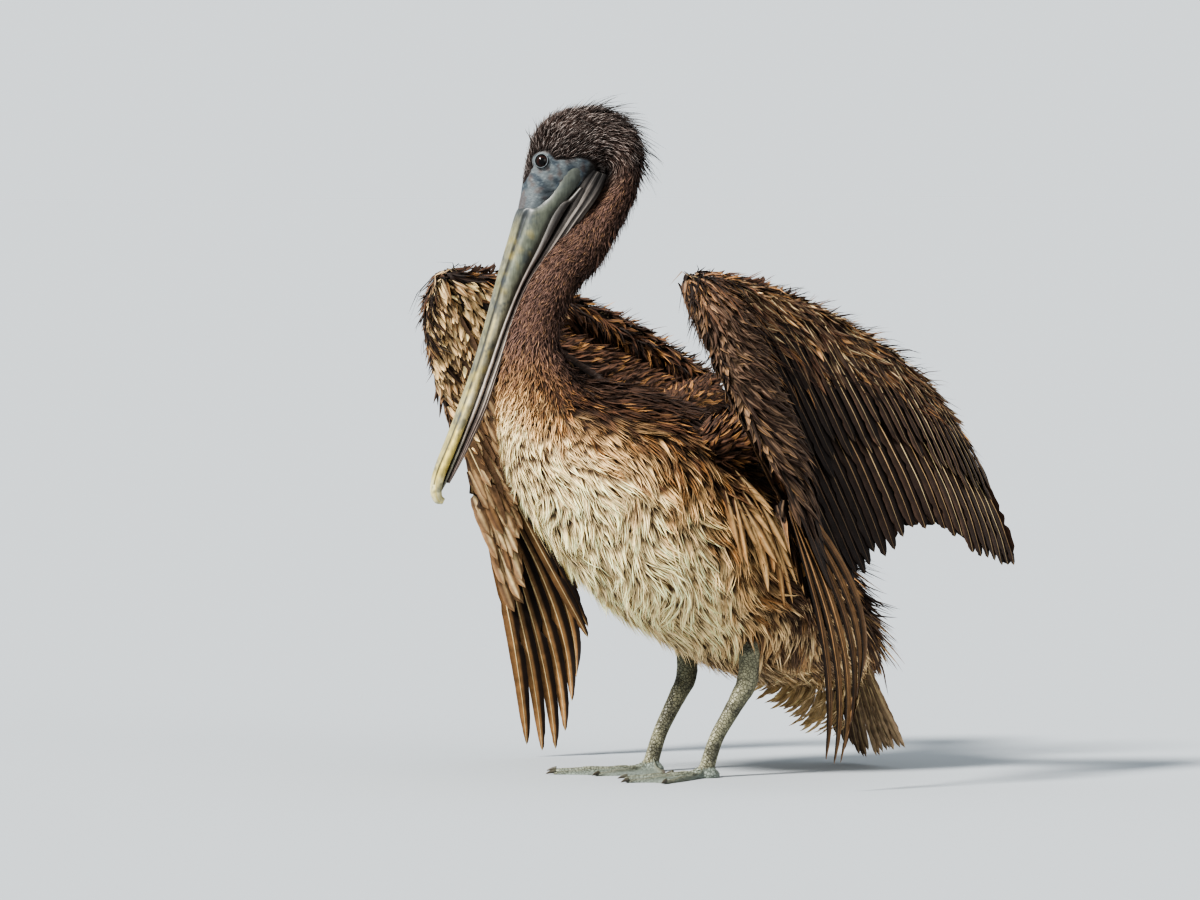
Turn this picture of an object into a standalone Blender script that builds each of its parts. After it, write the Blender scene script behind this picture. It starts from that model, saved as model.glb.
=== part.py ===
"""A young brown pelican at life size, standing with its wings half raised and its bill down.

Lengths are metres and +Z is up. The bird faces -Y, and +X is its left. Places on the bird are
written as (left, forward, up) in centimetres from a point on the floor between its feet, and
place() turns them into metres.
"""

import math

import bmesh
import bpy
import numpy as np

CM = 0.01
GAP = 0.0003
CARVE_GAP = 0.0005
MOST_SHELL = 1.4
BLADE_GAP = 0.0004
LEAST_HALF_BLADE = 0.0010
BLADE_RINGS = 7

# The head turns a little to the bird's right, and the bill points steeply down.
HEAD_TURN = math.radians(18)
BILL_PITCH = math.radians(72.7)
BILL_BASE = (-2.70, 18.47, 55.14)

EYE_FORWARD = -3.65
EYE_BELOW_CROWN_LINE = 0.62
EYE_SIDE = 1.42
EYE_RADIUS = 0.74

# Head and upper neck, as slices that fan round the corner of the jaw: the slice's throat end and
# its crown end, each as (forward, below the bill's top line), and its half width, in centimetres.
HEAD_SLICES = [
    ((0.0, 3.3), (0.0, -0.05), 1.72),
    ((-1.1, 4.7), (-2.2, -0.38), 1.92),
    ((-2.2, 5.7), (-4.2, -0.48), 2.15),
    ((-3.3, 6.4), (-6.2, -0.30), 2.40),
    ((-4.1, 6.8), (-8.0, 0.65), 2.55),
    ((-4.5, 6.9), (-9.6, 3.1), 2.60),
    ((-4.4, 7.1), (-10.1, 5.5), 2.60),
    ((-4.1, 7.3), (-9.2, 8.4), 2.50),
    ((-3.4, 7.3), (-7.1, 9.9), 2.35),
    ((-2.3, 7.0), (-5.0, 10.5), 2.25),
    ((-0.8, 6.4), (-2.3, 10.5), 2.15),
]

# Neck and trunk, as slices square to their middle line: forward, up, half depth, half width.
NECK_SLICES = [
    (13.2, 50.4, 2.30, 2.10),
    (16.1, 47.4, 2.20, 2.05),
    (18.3, 43.4, 2.30, 2.15),
    (18.85, 40.3, 2.85, 2.70),
    (18.3, 37.0, 4.00, 4.40),
]
TRUNK_SLICES = [
    (16.4, 34.0, 6.0, 6.9),
    (13.2, 31.1, 7.8, 8.8),
    (8.0, 27.7, 9.6, 9.9),
    (2.8, 24.0, 10.3, 10.3),
    (-2.2, 20.6, 9.8, 10.0),
    (-7.0, 17.3, 8.8, 9.2),
    (-11.0, 14.8, 7.3, 7.8),
    (-14.6, 12.6, 5.3, 6.2),
    (-17.2, 11.1, 3.5, 4.4),
    (-18.8, 10.2, 1.5, 2.4),
]
FIRST_NECK_SLICE = len(HEAD_SLICES)
HEAD_END = 7
NECK_MIDDLE = FIRST_NECK_SLICE + 1
NECK_END = FIRST_NECK_SLICE + len(NECK_SLICES) - 1
BODY_SIDES = 16

# Bill, as slices along its length: forward, top, edge where the halves meet, half width.
UPPER_BILL = [
    (0.0, 0.00, 2.90, 1.70),
    (4.0, 0.02, 2.45, 1.68),
    (8.0, 0.06, 1.85, 1.42),
    (12.0, 0.20, 1.50, 1.20),
    (16.0, 0.28, 1.36, 1.12),
    (20.0, 0.12, 1.16, 1.20),
    (24.0, -0.16, 0.86, 1.28),
    (26.4, -0.36, 0.66, 1.05),
    (27.8, -0.40, 0.62, 0.72),
    (28.9, -0.20, 0.66, 0.50),
    (29.5, 0.30, 0.98, 0.34),
    (29.5, 0.90, 1.22, 0.18),
]
# The lower bill and the folded pouch under it: forward, edge, keel, pouch bottom, half width.
LOWER_BILL = [
    (-4.3, 5.15, 5.55, 6.85, 2.15),
    (-2.4, 4.55, 5.15, 6.60, 2.10),
    (0.0, 2.95, 3.90, 5.75, 1.85),
    (4.0, 2.48, 3.20, 4.45, 1.66),
    (8.0, 1.88, 2.45, 3.00, 1.40),
    (12.0, 1.53, 2.10, 2.68, 1.18),
    (16.0, 1.39, 1.90, 2.52, 1.10),
    (20.0, 1.19, 1.65, 2.40, 1.16),
    (23.5, 0.94, 1.38, 1.95, 1.14),
    (26.0, 0.72, 1.15, 1.38, 0.86),
    (27.6, 0.66, 0.98, 1.08, 0.46),
]
BILL_SIDES = 12
BILL_SEAM = 0.05
POUCH_WIDTH = 0.97
CULMEN_RIDGE = 0.35
# How far each slice of the upper bill is tipped forward, in degrees, to round the hook.
HOOK_TILT = [0] * 7 + [8, 20, 42, 66, 80]

# The wing is one bent sheet. Each row is a place on its leading edge, the tip of the feather
# that grows there, the sheet's outward swell half way, and how far its feathers bow back.
# Rows run from the shoulder to the elbow, wrist and end of the hand.
WING_ROWS = [
    ((8.2, 1.6, 32.4), (10.8, -14.6, 22.4), 0.4, 0.5),
    ((12.5, -5.0, 35.0), (14.4, -18.3, 23.4), 0.5, 0.8),
    ((17.3, -12.4, 36.9), (20.6, -22.6, 19.4), 0.6, 1.7),
    ((18.5, -6.4, 40.9), (22.3, -17.3, 20.8), 1.0, 1.5),
    ((19.5, 1.0, 44.4), (22.8, -11.6, 23.6), 1.2, 1.0),
    ((20.4, 8.8, 47.0), (23.1, -5.4, 21.0), 1.2, 0.6),
    ((20.9, 15.6, 48.0), (23.6, -1.4, 18.2), 1.0, 0.3),
    ((24.2, 15.6, 44.2), (24.4, -3.2, 13.4), 0.9, 0.3),
    ((25.6, 14.2, 39.6), (25.2, -3.3, 9.2), 0.7, 0.4),
    ((26.6, 11.8, 34.2), (26.4, -1.6, 0.9), 0.5, 0.5),
    ((27.0, 8.5, 28.5), (27.1, 3.2, 2.4), 0.3, 0.4),
]
SHOULDER_ROW = 0
ELBOW_ROW = 2
WRIST_ROW = 6
HAND_ROW = 10
FOREARM_COVERTS = 0.50
SHEET_GAP = 0.006
# The hand, as slices down its leading edge: place, half width, half thickness.
HAND_SLICES = [
    ((21.2, 15.9, 47.0), 1.5, 0.9),
    ((22.4, 15.9, 46.2), 2.3, 1.4),
    ((24.2, 15.6, 43.8), 2.8, 1.5),
    ((25.6, 14.2, 39.6), 2.9, 1.3),
    ((26.6, 11.8, 34.2), 2.6, 1.1),
    ((27.0, 8.6, 28.5), 2.1, 0.8),
    ((26.9, 6.4, 23.6), 0.9, 0.35),
]
HAND_TRAIL = (-0.35, -0.93, 0.10)
INNER_PRIMARY_ROOT = 0.10
# The long primaries fan out from a short line inside the hand's end, from inner to outer.
FAN_ROOT_INNER = (25.9, 7.6, 29.0)
FAN_ROOT_OUTER = (26.8, 7.9, 26.0)
FAN_SWELL = 0.4
TERTIAL_ROOT = 0.10
INNER_PRIMARIES_END = WRIST_ROW + 1.7
LONG_PRIMARIES = (5, 6, 7, 8, 9, 10)
SHOULDER = (5.4, 4.2, 31.2)
ARM_RADII = (2.8, 2.6, 2.2, 1.7)

TAIL_ROOT = (0.0, -15.6, 13.2)
TAIL_TIP = (0.0, -20.8, 0.05)
TAIL_ROOT_HALF_WIDTH = 2.6
TAIL_TIP_HALF_WIDTH = 6.3
TAIL_FEATHERS = 11
TAIL_ARCH = 0.9
OUTER_TAIL_SHORTER = 0.16

# Legs: a short feathered thigh, the bare shank's ankle, and the foot's joint over the toes.
ANKLE = (5.2, -1.9, 8.9)
THIGH_POINTS = [(5.6, -2.4, 15.5), (5.4, -2.1, 11.6), ANKLE]
THIGH_RADII = (1.5, 1.15, 0.85)
SHANK_POINTS = [ANKLE, (5.05, -0.3, 6.3), (4.85, 1.3, 3.75), (4.8, 2.3, 1.2)]
SHANK_RADII = (0.92, 0.70, 0.70, 0.80)
FOOT_JOINT = (4.8, 2.3)
FOOT_SPLAY = math.radians(7)
# Toes as (angle outward from straight ahead, length), from the outer toe round to the hind toe.
TOES = [(24, 9.6), (2, 10.6), (-24, 8.4), (-78, 4.6)]
FOOT_HEEL = 1.15
FOOT_CENTRE = 0.80
HUB_HEIGHT = 1.05
HUB_RADIUS = 0.75
WEB_HEIGHT = 0.26
TOE_HEIGHT = 0.46
FOOT_COLUMNS = 32
HEEL_COLUMNS = 9


def clear_scene():
    for item in list(bpy.data.objects):
        bpy.data.objects.remove(item, do_unlink=True)


def paint(name, colour, roughness):
    """A plain material with a Principled surface."""
    look = bpy.data.materials.new(name)
    look.use_nodes = True
    surface = look.node_tree.nodes["Principled BSDF"]
    surface.inputs["Base Color"].default_value = (*colour, 1.0)
    surface.inputs["Roughness"].default_value = roughness
    return look


def place(left, forward, up):
    """A place on the bird, in metres."""
    return np.array((left, -forward, up)) * CM


def unit(vector):
    return vector / np.linalg.norm(vector)


def smooth(rows, steps):
    """Rows of numbers along a smooth curve through the given rows, with this many steps a span."""
    rows = np.asarray(rows, float)
    ends = (2 * rows[0] - rows[1], 2 * rows[-1] - rows[-2])
    padded = np.vstack((ends[0], rows, ends[1]))
    return np.array([curve_at(padded, k / steps) for k in range((len(rows) - 1) * steps + 1)])


def curve_at(padded, where):
    """The Catmull-Rom curve through padded[1:-1] at this row number."""
    span = min(int(where), len(padded) - 4)
    t = where - span
    a, b, c, d = padded[span : span + 4]
    square = (2 * a - 5 * b + 4 * c - d) * t**2
    cube = (3 * b - a - 3 * c + d) * t**3
    return 0.5 * (2 * b + (c - a) * t + square + cube)


class Collections:
    """The bird's own collection, and one for the shapes that only cut."""

    def __init__(self):
        self.bird = bpy.data.collections.new("brown_pelican")
        self.cutters = bpy.data.collections.new("cutters")
        for group in (self.bird, self.cutters):
            bpy.context.scene.collection.children.link(group)


def loft(name, rings, look, group, flip_x=False):
    """A closed solid through rings of equal count, with flat ends. flip_x makes the right side's."""
    build = bmesh.new()
    sign = np.array((-1.0, 1.0, 1.0)) if flip_x else np.ones(3)
    rows = [[build.verts.new(point * sign) for point in ring] for ring in rings]
    for near, far in zip(rows, rows[1:]):
        for i in range(len(near)):
            j = (i + 1) % len(near)
            build.faces.new((near[i], near[j], far[j], far[i]))
    build.faces.new(rows[0])
    build.faces.new(rows[-1])
    bmesh.ops.recalc_face_normals(build, faces=build.faces)
    bmesh.ops.triangulate(build, faces=build.faces)
    mesh = bpy.data.meshes.new(name)
    build.to_mesh(mesh)
    build.free()
    mesh.materials.append(look)
    mesh.shade_smooth()
    mesh.set_sharp_from_angle(angle=math.radians(50))
    solid = bpy.data.objects.new(name, mesh)
    group.objects.link(solid)
    return solid


def carve(solid, tool, cutters, solver="EXACT"):
    """Cuts the tool's shape out of the solid, with a thin gap all round it."""
    graph = bpy.context.evaluated_depsgraph_get()
    swollen = bpy.data.meshes.new_from_object(tool.evaluated_get(graph))
    build = bmesh.new()
    build.from_mesh(swollen)
    build.normal_update()
    moves = [vert.normal * min(vert.calc_shell_factor(), MOST_SHELL) for vert in build.verts]
    for vert, move in zip(build.verts, moves):
        vert.co += move * CARVE_GAP
    build.to_mesh(swollen)
    build.free()
    cutter = bpy.data.objects.new(f"cut_{solid.name}_{tool.name}", swollen)
    cutter.location = tool.location
    cutter.hide_render = True
    cutter.display_type = "WIRE"
    cutters.objects.link(cutter)
    cut = solid.modifiers.new(cutter.name, "BOOLEAN")
    cut.operation = "DIFFERENCE"
    cut.solver = solver
    cut.object = cutter


def apply_cuts(solid):
    """Makes the cuts real and keeps the largest piece that they leave."""
    graph = bpy.context.evaluated_depsgraph_get()
    mesh = bpy.data.meshes.new_from_object(solid.evaluated_get(graph))
    solid.modifiers.clear()
    solid.data = mesh
    build = bmesh.new()
    build.from_mesh(mesh)
    bmesh.ops.remove_doubles(build, verts=build.verts, dist=0.000001)
    bmesh.ops.triangulate(build, faces=build.faces)
    islands = islands_of(build)
    largest = max(islands, key=len)
    spare = [vert for island in islands if island is not largest for vert in island]
    bmesh.ops.delete(build, geom=spare, context="VERTS")
    build.to_mesh(mesh)
    build.free()


def islands_of(build):
    """The mesh's connected groups of points."""
    left = set(build.verts)
    islands = []
    while left:
        found = {left.pop()}
        edge_of_search = list(found)
        while edge_of_search:
            vert = edge_of_search.pop()
            for edge in vert.link_edges:
                other = edge.other_vert(vert)
                if other in left:
                    left.discard(other)
                    found.add(other)
                    edge_of_search.append(other)
        islands.append(found)
    return islands


def ellipse(centre, rise, side, count):
    """A ring round centre, from its rise vector round by way of its side vector."""
    turns = [2 * math.pi * k / count for k in range(count)]
    return [centre + rise * math.cos(turn) + side * math.sin(turn) for turn in turns]


def parted(rings, first, last):
    """Rings first to last, with both end rings drawn in by half a gap along the loft."""
    rings = [list(ring) for ring in rings[first : last + 1]]
    for end, inner in ((0, 1), (-1, -2)):
        centre = np.mean(rings[end], axis=0)
        normal = unit(np.cross(rings[end][1] - centre, rings[end][0] - centre))
        if np.dot(normal, np.mean(rings[inner], axis=0) - centre) < 0:
            normal = -normal
        rings[end] = [point + normal * GAP / 2 for point in rings[end]]
    return rings


class HeadFrame:
    """Turns (forward along the bill, below its top line, left) in centimetres into metres."""

    def __init__(self):
        heading = np.array((-math.sin(HEAD_TURN), -math.cos(HEAD_TURN), 0.0))
        up = np.array((0.0, 0.0, 1.0))
        self.left = np.array((math.cos(HEAD_TURN), -math.sin(HEAD_TURN), 0.0))
        self.bill = heading * math.cos(BILL_PITCH) - up * math.sin(BILL_PITCH)
        self.crown = heading * math.sin(BILL_PITCH) + up * math.cos(BILL_PITCH)
        self.base = place(*BILL_BASE)

    def at(self, forward, below, left=0.0):
        return self.base + (self.bill * forward - self.crown * below + self.left * left) * CM


def body_rows(head):
    """Centre, rise and side vectors of each slice, from the bill's base back to the rump."""
    rows = []
    for throat, crown, half_width in HEAD_SLICES:
        low, high = head.at(*throat), head.at(*crown)
        rows.append((*(low + high) / 2, *(high - low) / 2, *head.left * half_width * CM))
    slices = NECK_SLICES + TRUNK_SLICES
    middle = [rows[-1][:3]] + [place(0.0, forward, up) for forward, up, _, _ in slices]
    middle.append(2 * middle[-1] - middle[-2])
    for i, (_, _, half_depth, half_width) in enumerate(slices, start=1):
        along = unit(middle[i + 1] - middle[i - 1])
        back = unit(np.cross((1.0, 0.0, 0.0), along))
        side = np.array((half_width * CM, 0.0, 0.0))
        rows.append((*middle[i], *back * half_depth * CM, *side))
    return rows


def build_body(head, looks, groups):
    """Head, two lengths of neck and the trunk: one smooth form, parted by thin cuts."""
    steps = 2
    rows = smooth(body_rows(head), steps)
    rings = [ellipse(row[:3], row[3:6], row[6:9], BODY_SIDES) for row in rows]
    cuts = [0, HEAD_END, NECK_MIDDLE, NECK_END, len(HEAD_SLICES + NECK_SLICES + TRUNK_SLICES) - 1]
    names = ["head", "neck_upper", "neck_lower", "trunk"]
    solids = {}
    for name, first, last in zip(names, cuts, cuts[1:]):
        part_rings = parted(rings, first * steps, last * steps)
        if name == "trunk":
            part_rings = part_rings[::steps]
        solids[name] = loft(name, part_rings, looks[name.split("_")[0]], groups.bird)
    return solids


def bill_ring(head, forward, top, bottom, half_width, ridge):
    """A slice of bill: a rounded box whose top is drawn up into a ridge."""
    middle, half_depth = (top + bottom) / 2, (bottom - top) / 2
    ring = []
    for k in range(BILL_SIDES):
        turn = 2 * math.pi * (k + 0.5) / BILL_SIDES
        rise, side = math.cos(turn), math.sin(turn)
        narrow = 1 - ridge * max(rise, 0.0) ** 2
        square = 1 / max(abs(rise), abs(side)) ** 0.45
        across = half_width * side * narrow * square
        ring.append(head.at(forward, middle - half_depth * rise * min(square, 1 / abs(rise)), across))
    return ring


def tilted(rings, head, tilt):
    """Turns the last rings so that the hook's end looks down, as a bent tube does."""
    bent = []
    for ring, angle in zip(rings, tilt):
        centre = np.mean(ring, axis=0)
        turn = math.radians(angle)
        moved = []
        for point in ring:
            height = np.dot(point - centre, head.crown)
            turned = head.crown * math.cos(turn) + head.bill * math.sin(turn)
            moved.append(point + (turned - head.crown) * height)
        bent.append(moved)
    return bent


def build_bill(head, looks, groups):
    """Upper bill with its hook, lower bill, and the pouch folded under it."""
    upper_rings = [bill_ring(head, *row, ridge=CULMEN_RIDGE) for row in UPPER_BILL]
    upper_rings = parted(tilted(upper_rings, head, HOOK_TILT), 0, len(UPPER_BILL) - 1)
    lower_rings = []
    pouch_rings = []
    for forward, edge, keel, bottom, wide in LOWER_BILL:
        if forward >= 0:
            lower_rings.append(bill_ring(head, forward, edge + BILL_SEAM, keel, wide, 0.0))
        pouch_top = keel + BILL_SEAM if forward >= 0 else edge
        pouch_rings.append(bill_ring(head, forward, pouch_top, bottom, wide * POUCH_WIDTH, 0.0))
    lower_rings = parted(lower_rings, 0, len(lower_rings) - 1)
    return {
        "bill_upper": loft("bill_upper", upper_rings, looks["bill"], groups.bird),
        "bill_lower": loft("bill_lower", lower_rings, looks["bill"], groups.bird),
        "pouch": loft("pouch", pouch_rings[:-1], looks["pouch"], groups.bird),
    }


def build_eyes(head, looks, groups):
    eyes = {}
    for name, sign in (("eye_left", 1), ("eye_right", -1)):
        bpy.ops.mesh.primitive_uv_sphere_add(segments=12, ring_count=8, radius=EYE_RADIUS * CM)
        eye = bpy.context.object
        eye.name = name
        eye.data.name = name
        eye.location = head.at(EYE_FORWARD, EYE_BELOW_CROWN_LINE, sign * EYE_SIDE)
        eye.data.materials.append(looks["eye"])
        eye.data.shade_smooth()
        for group in list(eye.users_collection):
            group.objects.unlink(eye)
        groups.bird.objects.link(eye)
        eyes[name] = eye
    return eyes


class WingSheet:
    """The middle surface of the left wing: row number along the wing, 0 to 1 down each feather."""

    def __init__(self):
        rows = []
        for edge, tip, swell, bow in WING_ROWS:
            rows.append((*place(*edge), *place(*tip), swell * CM, bow * CM))
        rows = np.array(rows)
        self.parts = [self.pad(rows[: ELBOW_ROW + 1]), self.pad(rows[ELBOW_ROW : WRIST_ROW + 1])]
        self.parts.append(self.pad(rows[WRIST_ROW:]))
        self.starts = [SHOULDER_ROW, ELBOW_ROW, WRIST_ROW]

    @staticmethod
    def pad(rows):
        return np.vstack((2 * rows[0] - rows[1], rows, 2 * rows[-1] - rows[-2]))

    def row(self, along):
        part = 2 if along >= WRIST_ROW else 1 if along >= ELBOW_ROW else 0
        return curve_at(self.parts[part], along - self.starts[part])

    def at(self, along, down):
        row = self.row(along)
        edge, tip, swell, bow = row[:3], row[3:6], row[6], row[7]
        hump = 4 * down * (1 - down)
        outward = np.array((swell, bow, 0.0))
        return edge + (tip - edge) * down + outward * hump

    def outward(self, along, down):
        """The unit normal of the sheet's outer face."""
        step = 0.45
        if along < ELBOW_ROW:
            here, there = max(along - step, SHOULDER_ROW), min(along + step, ELBOW_ROW)
        else:
            here, there = max(along - step, ELBOW_ROW), min(along + step, HAND_ROW)
        well_down = max(down, 0.2)
        across = self.at(there, well_down) - self.at(here, well_down)
        run = self.at(along, down + 0.02) - self.at(along, down - 0.02)
        normal = unit(np.cross(across, run))
        return normal if normal[0] > 0 else -normal


def vane(name, span, columns, rows, down, thickness, ripple, look, groups, flip_x):
    """A piece of the wing sheet between two of its rows. down is where it starts and ends down the
    feathers, thickness(u) its half thickness there, u from 0 to 1, and ripple(t) how much shorter
    the feathers are at t, from 0 to 1 along the span."""
    sheet = WingSheet()
    rings = []
    for i in range(columns + 1):
        t = i / columns
        along = span[0] + (span[1] - span[0]) * t
        end = down[1] - ripple(t)
        outer, inner = [], []
        for k in range(rows):
            u = k / (rows - 1)
            here = down[0] + (end - down[0]) * u**1.3
            normal = sheet.outward(along, here)
            middle = sheet.at(along, here)
            half = thickness(u) * CM
            outer.append(middle + normal * half)
            inner.append(middle - normal * half)
        rings.append(outer + inner[::-1])
    return loft(name, drawn_in(rings), look, groups.bird, flip_x)


def drawn_in(rings):
    """Moves the first and last rings towards their neighbours, to leave half a gap at each end."""
    rings = [np.array(ring) for ring in rings]
    for end, inner in ((0, 1), (-1, -2)):
        step = rings[inner] - rings[end]
        lengths = np.maximum(np.linalg.norm(step, axis=1, keepdims=True), 1e-5)
        rings[end] = rings[end] + step / lengths * np.minimum(CARVE_GAP, lengths * 0.4)
    return [list(ring) for ring in rings]


def teeth(count, depth):
    """A rule that gives 0 at each feather's middle and depth between two feathers."""

    def shorten(t):
        return depth * abs(math.cos(math.pi * t * count))

    return shorten


def coverts_thickness(thick, thin):
    """Half thickness of a leading edge: round in front, then thinning to its last feathers."""

    def half(u):
        if u < 0.12:
            return thin + (thick - thin) * math.sqrt(u / 0.12)
        return thick + (thin - thick) * ((u - 0.12) / 0.88) ** 0.8

    return half


def even_thickness(root, tip):
    def half(u):
        return root + (tip - root) * u

    return half


def fan_line(sheet, line, down):
    """A place on one of the lines that part the long primaries: line 0 is the innermost."""
    share = line / len(LONG_PRIMARIES)
    root = place(*FAN_ROOT_INNER) * (1 - share) + place(*FAN_ROOT_OUTER) * share
    tip = sheet.at(INNER_PRIMARIES_END + (HAND_ROW - INNER_PRIMARIES_END) * share, 1.0)
    swell = np.array((FAN_SWELL * CM * 4 * down * (1 - down), 0.0, 0.0))
    return root + (tip - root) * down + swell


def blade(name, sheet, line, look, groups, flip_x):
    """One long primary: a thin blade that keeps its width and then narrows to a rounded point."""
    rings = []
    for k in range(BLADE_RINGS):
        u = k / (BLADE_RINGS - 1)
        near, far = fan_line(sheet, line, u), fan_line(sheet, line + 1, u)
        run = fan_line(sheet, line + 0.5, u + 0.02) - fan_line(sheet, line + 0.5, u - 0.02)
        taper = 1.0 if u < 0.72 else math.sqrt(max(1 - ((u - 0.72) / 0.28) ** 2, 0.0))
        half_width = max((np.linalg.norm(far - near) / 2 - BLADE_GAP) * taper, LEAST_HALF_BLADE)
        centre = (near + far) / 2
        across = unit(far - near) * half_width
        normal = unit(np.cross(across, run)) * (0.10 - 0.04 * u) * CM
        ring = [centre - across, centre - across * 0.4 + normal, centre + across * 0.4 + normal]
        ring += [centre + across, centre + across * 0.4 - normal, centre - across * 0.4 - normal]
        rings.append(ring)
    return loft(name, rings, look, groups.bird, flip_x)


def build_arm(side, flip_x, looks, groups):
    """The upper arm, from inside the shoulder back and up to the elbow."""
    start, end = place(*SHOULDER), place(*WING_ROWS[ELBOW_ROW][0])
    along = unit(end - start)
    reach = np.linalg.norm(end - start) - 1.4 * CM
    rise = unit(np.cross(along, (1.0, 0.0, 0.0)))
    across = unit(np.cross(along, rise))
    rings = []
    for (radius,) in smooth([(r,) for r in ARM_RADII], 2):
        t = len(rings) / (2 * (len(ARM_RADII) - 1))
        centre = start + along * reach * t - np.array((0.0, 0.0, 0.9 * CM * t))
        rings.append(ellipse(centre, rise * radius * CM, across * radius * 0.8 * CM, 10))
    return loft(f"wing_arm_{side}", rings, looks["wing"], groups.bird, flip_x)


def build_hand(side, flip_x, looks, groups):
    """The hand and its small feathers, hanging from the wrist along the leading edge."""
    rows = smooth([(*place(*edge), wide, thick) for edge, wide, thick in HAND_SLICES], 2)
    trail = place(*HAND_TRAIL)
    rings = []
    for i, row in enumerate(rows):
        along = unit(rows[min(i + 1, len(rows) - 1)][:3] - rows[max(i - 1, 0)][:3])
        back = unit(trail - along * np.dot(trail, along))
        normal = unit(np.cross(along, back))
        centre = row[:3] + back * row[3] * CM
        rings.append(ellipse(centre, back * row[3] * CM, normal * row[4] * CM, 10))
    return loft(f"wing_hand_{side}", rings, looks["wing"], groups.bird, flip_x)


def build_fold(side, flip_x, looks, groups):
    """The skin fold that fills the bent wing between shoulder, elbow and wrist."""
    elbow, wrist = place(*WING_ROWS[ELBOW_ROW][0]), place(*WING_ROWS[WRIST_ROW][0])
    shoulder = place(*SHOULDER)
    drop = np.array((0.0, 0.0, -1.5 * CM))
    normal = unit(np.cross(wrist - elbow, shoulder - elbow))
    normal = normal if normal[2] > 0 else -normal
    rings = []
    for b in np.linspace(0.03, 0.97, 7):
        ray = (wrist - elbow) * (1 - b) + (shoulder - elbow) * b
        reach = 0.97 - 0.34 * math.sin(math.pi * b) ** 0.8
        upper, lower = [], []
        for a in (0.10, 0.4, 0.7, 0.88, 1.0):
            half = (0.55 if a < 1.0 else 0.2) * CM
            point = elbow + drop + ray * reach * a
            upper.append(point + normal * half)
            lower.append(point - normal * half)
        rings.append(upper + lower[::-1])
    return loft(f"wing_fold_{side}", rings, looks["wing"], groups.bird, flip_x)


def build_wing(side, flip_x, trunk, looks, groups):
    """Arm, skin fold, forearm, hand and every group of flight feathers, cut clear of each other."""
    sheet = WingSheet()
    quill = looks["quill"]
    solids = {}
    solids["forearm"] = vane(
        f"wing_forearm_{side}", (ELBOW_ROW, WRIST_ROW), 12, 5, (0.0, FOREARM_COVERTS),
        coverts_thickness(1.55, 0.35), teeth(1, 0.0), looks["wing"], groups, flip_x)
    solids["hand"] = build_hand(side, flip_x, looks, groups)
    solids["secondaries"] = vane(
        f"secondaries_{side}", (ELBOW_ROW, WRIST_ROW), 20, 4, (FOREARM_COVERTS + SHEET_GAP, 1.0),
        even_thickness(0.30, 0.08), teeth(10, 0.07), quill, groups, flip_x)
    solids["inner_primaries"] = vane(
        f"primaries_inner_{side}", (WRIST_ROW, INNER_PRIMARIES_END), 8, 4, (INNER_PRIMARY_ROOT, 1.0),
        even_thickness(0.22, 0.08), teeth(4, 0.05), quill, groups, flip_x)
    solids["tertials"] = vane(
        f"tertials_{side}", (SHOULDER_ROW, ELBOW_ROW), 10, 4, (TERTIAL_ROOT, 1.0),
        even_thickness(0.5, 0.10), teeth(5, 0.06), quill, groups, flip_x)
    for number in LONG_PRIMARIES:
        name = f"primary_{number:02d}"
        line = number - LONG_PRIMARIES[0]
        solids[name] = blade(f"{name}_{side}", sheet, line, quill, groups, flip_x)
        carve(solids[name], solids["hand"], groups.cutters)
        apply_cuts(solids[name])
    solids["arm"] = build_arm(side, flip_x, looks, groups)
    solids["fold"] = build_fold(side, flip_x, looks, groups)
    carve(solids["hand"], solids["forearm"], groups.cutters)
    apply_cuts(solids["hand"])
    for tool in (solids["hand"], solids["forearm"], solids["primary_05"]):
        carve(solids["inner_primaries"], tool, groups.cutters)
    apply_cuts(solids["inner_primaries"])
    carve(solids["arm"], trunk, groups.cutters)
    carve(solids["arm"], solids["forearm"], groups.cutters)
    apply_cuts(solids["arm"])
    for tool in (trunk, solids["arm"], solids["forearm"], solids["secondaries"]):
        carve(solids["tertials"], tool, groups.cutters)
    apply_cuts(solids["tertials"])
    for tool in (trunk, solids["arm"], solids["forearm"], solids["hand"], solids["tertials"]):
        carve(solids["fold"], tool, groups.cutters)
    apply_cuts(solids["fold"])
    return solids


def build_tail(trunk, looks, groups):
    """A fan of stiff feathers, whose middle tips reach the floor."""
    root, tip = place(*TAIL_ROOT), place(*TAIL_TIP)
    back = unit(np.cross((1.0, 0.0, 0.0), tip - root))
    back = back if back[1] > 0 else -back
    columns, rows = TAIL_FEATHERS * 2, 4
    rings = []
    for i in range(columns + 1):
        across = 2 * i / columns - 1
        tooth = 0.05 * (i % 2 == 0)
        outer, inner = [], []
        for k in range(rows):
            down = k / (rows - 1) * (1 - tooth - OUTER_TAIL_SHORTER * across**2)
            half_width = TAIL_ROOT_HALF_WIDTH * (1 - down) + TAIL_TIP_HALF_WIDTH * down
            half = (0.5 - 0.42 * down) * CM
            arch = back * (TAIL_ARCH * CM) * (1 - across**2)
            spread = place(across * half_width, 0.0, 0.0)
            middle = root + (tip - root) * down + arch * (1 - down) + spread
            outer.append(middle + back * half)
            inner.append(middle - back * half)
        rings.append(outer + inner[::-1])
    tail = loft("tail", rings, looks["quill"], groups.bird)
    carve(tail, trunk, groups.cutters)
    apply_cuts(tail)
    return tail


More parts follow.
